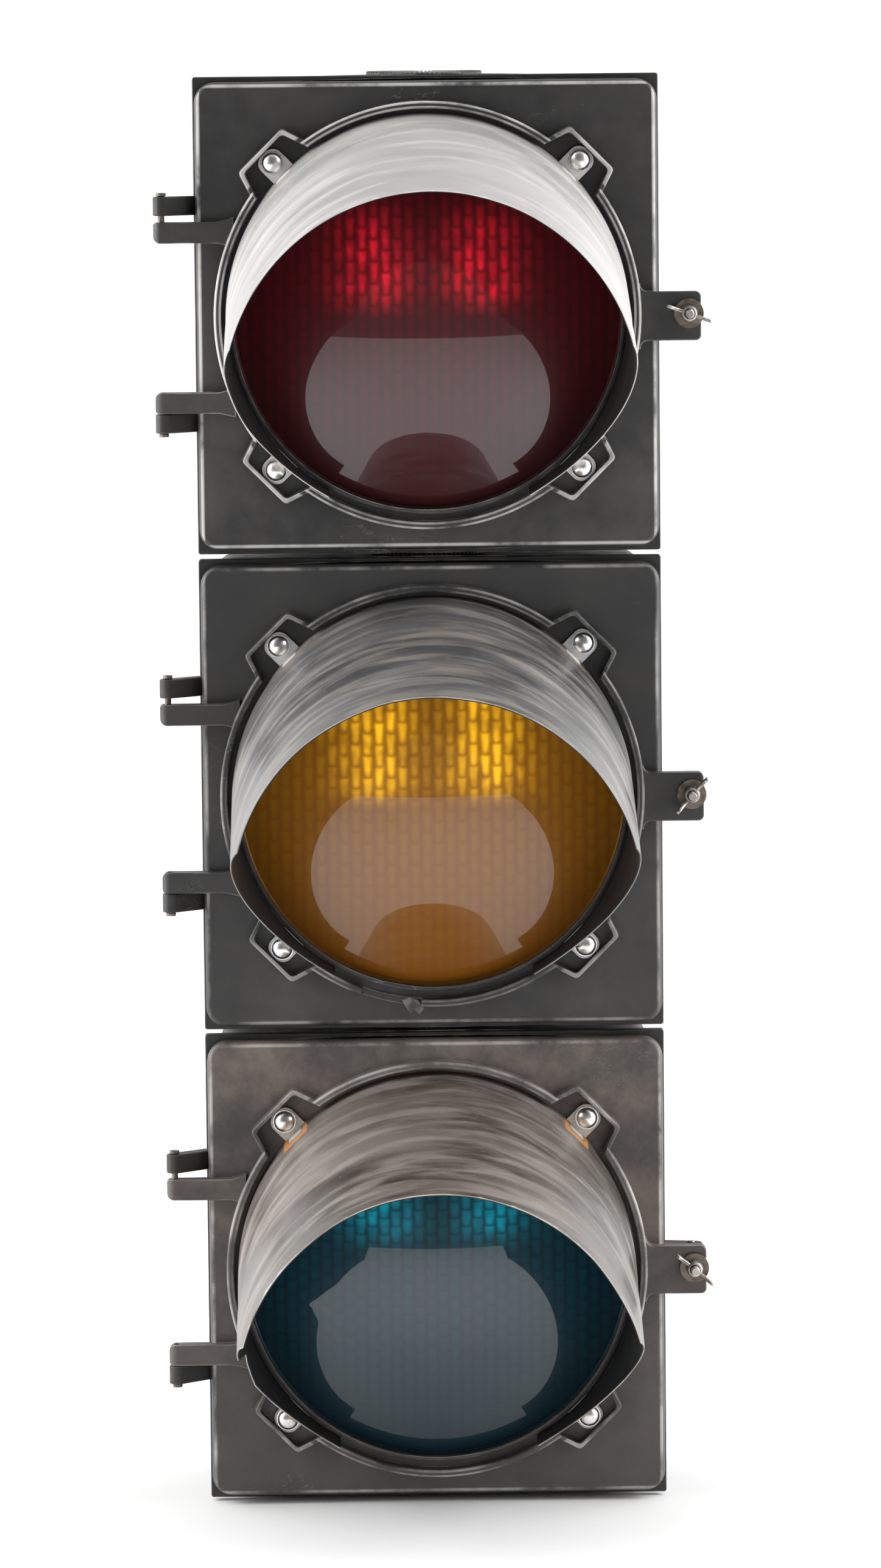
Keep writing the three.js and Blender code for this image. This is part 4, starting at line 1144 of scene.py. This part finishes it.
VISOR_FINISH = by_colour(visor_finish, {
    "red": Sizes(dark=grey(0.27, 0.03), light=grey(0.36, 0.03), streak=grey(0.45, 0.04),
                 bare=grey(0.70, 0.02), chalk=0.8, roughness=0.40, shine=0.5, wear=0.9, tab=0.9, rust=0.15),
    "amber": Sizes(dark=grey(0.035), light=grey(0.12, 0.01), streak=(0.30, 0.27, 0.24),
                   bare=grey(0.66, 0.02), chalk=0.7, roughness=0.30, shine=0.6, wear=0.5, tab=0.95, rust=0.1),
    "green": Sizes(dark=(0.022, 0.017, 0.014), light=(0.15, 0.13, 0.115), streak=(0.34, 0.30, 0.27),
                   bare=(0.60, 0.56, 0.50), chalk=0.55, roughness=0.28, shine=0.55, wear=0.9, tab=0.8,
                   rust=0.95),
})
# Each lens's highlight colour, faint highlight and glow are painted light.
LENS_LOOK = by_colour(lens_plastic, {
    "red": Sizes(deep=(0.050, 0.008, 0.010), shade=(0.10, 0.008, 0.011), bright=(0.80, 0.010, 0.030),
                 lobe=39, width=28, low=-4, high=96, faint=0.07, glow=0.65, slit=0.20, floor=0.28),
    "amber": Sizes(deep=(0.24, 0.082, 0.005), shade=(0.42, 0.150, 0.008), bright=(1.0, 0.50, 0.012),
                   lobe=40, width=30, low=-10, high=112, faint=0.15, glow=0.9, slit=0.20, floor=0.35),
    "green": Sizes(deep=(0.008, 0.028, 0.040), shade=(0.004, 0.034, 0.052), bright=(0.0, 0.30, 0.42),
                   lobe=42, width=26, low=14, high=130, faint=0.10, glow=0.5, slit=0.26, floor=0.30),
})
STEEL = metal("stainless steel", (0.50, 0.48, 0.45), 0.28, (0.16, 0.13, 0.10))
PIN_STEEL = metal("hinge pin steel", (0.22, 0.19, 0.16), 0.42, (0.07, 0.045, 0.03))
CHROME = metal("screw chrome", (0.88, 0.88, 0.87), 0.24, (0.60, 0.57, 0.53), 0.15)
ZINC = metal("zinc plate", (0.62, 0.60, 0.52), 0.3, (0.35, 0.30, 0.20))
BRASS = metal("lamp brass", (0.72, 0.52, 0.22), 0.25, (0.35, 0.24, 0.10))
HOLDER_STEEL = metal("holder steel", (0.52, 0.52, 0.52), 0.35, (0.28, 0.26, 0.24))
REFLECTOR_LOOK = spun_aluminium()
RUBBER = rubber("gasket rubber", 0.016)
PHENOLIC = moulded("socket moulding", (0.10, 0.05, 0.025), (0.16, 0.09, 0.05))
GLASS = clear_glass()
LEAD_LOOK = by_colour(lambda colour, look: insulation(f"{colour} lead", look), {
    "red": (0.30, 0.02, 0.015), "amber": (0.45, 0.25, 0.02), "green": (0.12, 0.07, 0.03),
})


# ---------- assembly ----------

def adder(colour, body):
    """A function that adds pieces of one section to one body."""
    def add(name, mesh, slot, material, *replaced, sharp=35.0):
        nodes = [f"{node}_{colour}" for node in replaced]
        piece(f"{name}_{colour}", mesh, ORIGINS[colour], body, material, nodes, sharp)
    return add


def add_housing(colour):
    add = adder(colour, "housing")
    add("housing_shell", housing(colour), "housing_plastic", HOUSING_PLASTIC, "housing")
    for which, upper in (("upper", True), ("lower", False)):
        add(f"hinge_pin_{which}_steel", hinge_pin(upper), "stainless_steel", PIN_STEEL, f"hinge_pin_{which}")
    add("latch_pin_steel", latch_pin(), "stainless_steel", STEEL, "latch_pin")


def add_door(colour, door_mesh):
    add = adder(colour, f"door_{colour}")
    frame_mesh = carved(door_mesh, cuts=[broken_rim()]) if colour == "amber" else door_mesh
    add("door_frame", frame_mesh, "door_plastic", DOOR_PLASTIC[colour], "door")
    if colour == "amber":
        add("rim_flake", rim_flake(), "door_plastic", FLAKE_PLASTIC)
    add("door_seal", door_gasket(), "gasket_rubber", RUBBER, "door_gasket")
    add("lens_prisms", lens(colour), f"lens_{colour}", LENS_LOOK[colour], "lens", sharp=60)
    add("lens_seal", lens_gasket(), "gasket_rubber", RUBBER, "lens_gasket")
    sheet = together(visor_sheet(colour), *spun(visor_tab()))
    add("visor_sheet", sheet, f"visor_finish_{colour}", VISOR_FINISH[colour], "visor", sharp=50)
    add("visor_screws", together(*spun(screw())), "stainless_steel", CHROME)


def add_latch(colour):
    for node, name, mesh, steel in (
        ("eyebolt", "eyebolt_thread", eyebolt(), STEEL),
        ("latch_washer", "washer_steel", latch_washer(), PIN_STEEL),
        ("wing_nut", "wing_nut_steel", wing_nut(WING_ANGLES[colour]), STEEL),
    ):
        adder(colour, f"{node}_{colour}")(name, mesh, "stainless_steel", steel, node)


def add_lamp(colour):
    add = adder(colour, "housing")
    add("reflector_bowl", reflector(), "reflector_aluminium", REFLECTOR_LOOK, "reflector")
    add("reflector_ring", reflector_holder(), "holder_steel", HOLDER_STEEL, "reflector_holder")
    add("holder_screws", together(*spun(holder_screw())), "stainless_steel", STEEL)
    add("socket_moulding", lamp_socket(), "socket_plastic", PHENOLIC, "lamp_socket")
    add("lamp_bulb", lamp_glass(), "lamp_glass", GLASS, "lamp")
    add("lamp_base", lamp_base(), "stainless_steel", BRASS)


def add_coupling(name, upper_colour):
    """The plates, studs and nuts between two housings."""
    at = ORIGINS[upper_colour] + Vector((0, RING.depth, -RING.half_pitch)) * MM
    for piece_name, mesh, replaced in (
        ("coupling_stud_plate", coupling_studs(), [f"coupling_studs_{name}"]),
        ("coupling_nut_plate", flipped(coupling_plate(True)), [f"coupling_plate_{name}"]),
        ("coupling_nuts", coupling_nuts(), []),
    ):
        piece(f"{piece_name}_{name}", mesh, at, "housing", ZINC, replaced)


def add_wiring():
    at = ORIGINS["amber"]
    for colour, route in lead_routes().items():
        piece(f"lead_wire_{colour}", tube(through(route)), at, "housing",
              LEAD_LOOK[colour], [f"lead_{colour}"])
    piece("terminal_strip", terminal_block(), at, "housing", PHENOLIC, ["terminal_block"])
    piece("terminal_screws", terminal_screws(), at, "housing", STEEL)


door_mesh = door()
for colour in COLOURS:
    add_housing(colour)
    add_door(colour, door_mesh)
    add_latch(colour)
    add_lamp(colour)
add_coupling("lower", "amber")
add_coupling("upper", "red")
add_wiring()


# ---------- studio and camera ----------

def linked(name, data):
    """A new object in the scene."""
    obj = bpy.data.objects.new(name, data)
    bpy.context.scene.collection.objects.link(obj)
    return obj


def floor():
    n = surface("floor")
    mark = n.ramp(n.noise(2.2, 6, 0.6), 0.45, 0.7, 0, 0.5)
    n.give(Base_Color=n.blend(mark, grey(0.90), grey(0.86, 0.01)), Roughness=0.7)
    mesh = bpy.data.meshes.new("floor")
    side, near, far = 14, -5.4, 40
    mesh.from_pydata([(u, v, 0) for u, v in oblong(-side, side, near, far)], [], [range(4)])
    mesh.materials.append(n.owner)
    linked("floor", mesh)


def world_light():
    """A white tent: plain white behind, brighter at both sides and dark in front, beyond the camera."""
    n = Nodes(bpy.data.worlds.new("studio"), "Background", "Generated")
    sides = n.ramp(n.size(n.axis("X")), 0.3, 0.85, 1.02, 3.3)
    front = n.ramp(n.axis("Y"), -0.55, -0.05, 0.14, 1.0)
    n.give(Color=(1, 1, 1), Strength=n.times(sides, front))
    bpy.context.scene.world = n.owner


def softbox(name, side, power):
    """A tall soft light beside the head, turned to its middle."""
    light = bpy.data.lights.new(name, "AREA")
    light.shape, light.size, light.size_y, light.energy = "RECTANGLE", 1.6, 2.2, power
    obj = linked(name, light)
    obj.location = (2.6 * side, -0.5, 1.3)
    obj.rotation_euler = (Vector((0, 0, 0.6)) - obj.location).to_track_quat("-Z", "Y").to_euler()


def camera():
    """A long lens from five metres, slightly above and turned a little to the latch side."""
    place, focal, yaw, pitch, roll = (-0.0620, -4.9620, 1.1023), 155.72, 0.0128, 0.1115, 0.010
    data = bpy.data.cameras.new("camera")
    data.sensor_fit, data.sensor_height, data.lens = "VERTICAL", 36, focal
    data.clip_end = 60
    ahead = Vector((math.sin(yaw) * math.cos(pitch), math.cos(yaw) * math.cos(pitch), -math.sin(pitch)))
    facing = ahead.to_track_quat("-Z", "Y").to_matrix() @ Matrix.Rotation(-roll, 3, "Z")
    obj = linked("camera", data)
    obj.matrix_world = Matrix.Translation(place) @ facing.to_4x4()
    bpy.context.scene.camera = obj


camera()
floor()
world_light()
softbox("left", -1, 58)
softbox("right", 1, 62)
bpy.context.scene.view_settings.view_transform = "Standard"

bpy.context.view_layer.update()
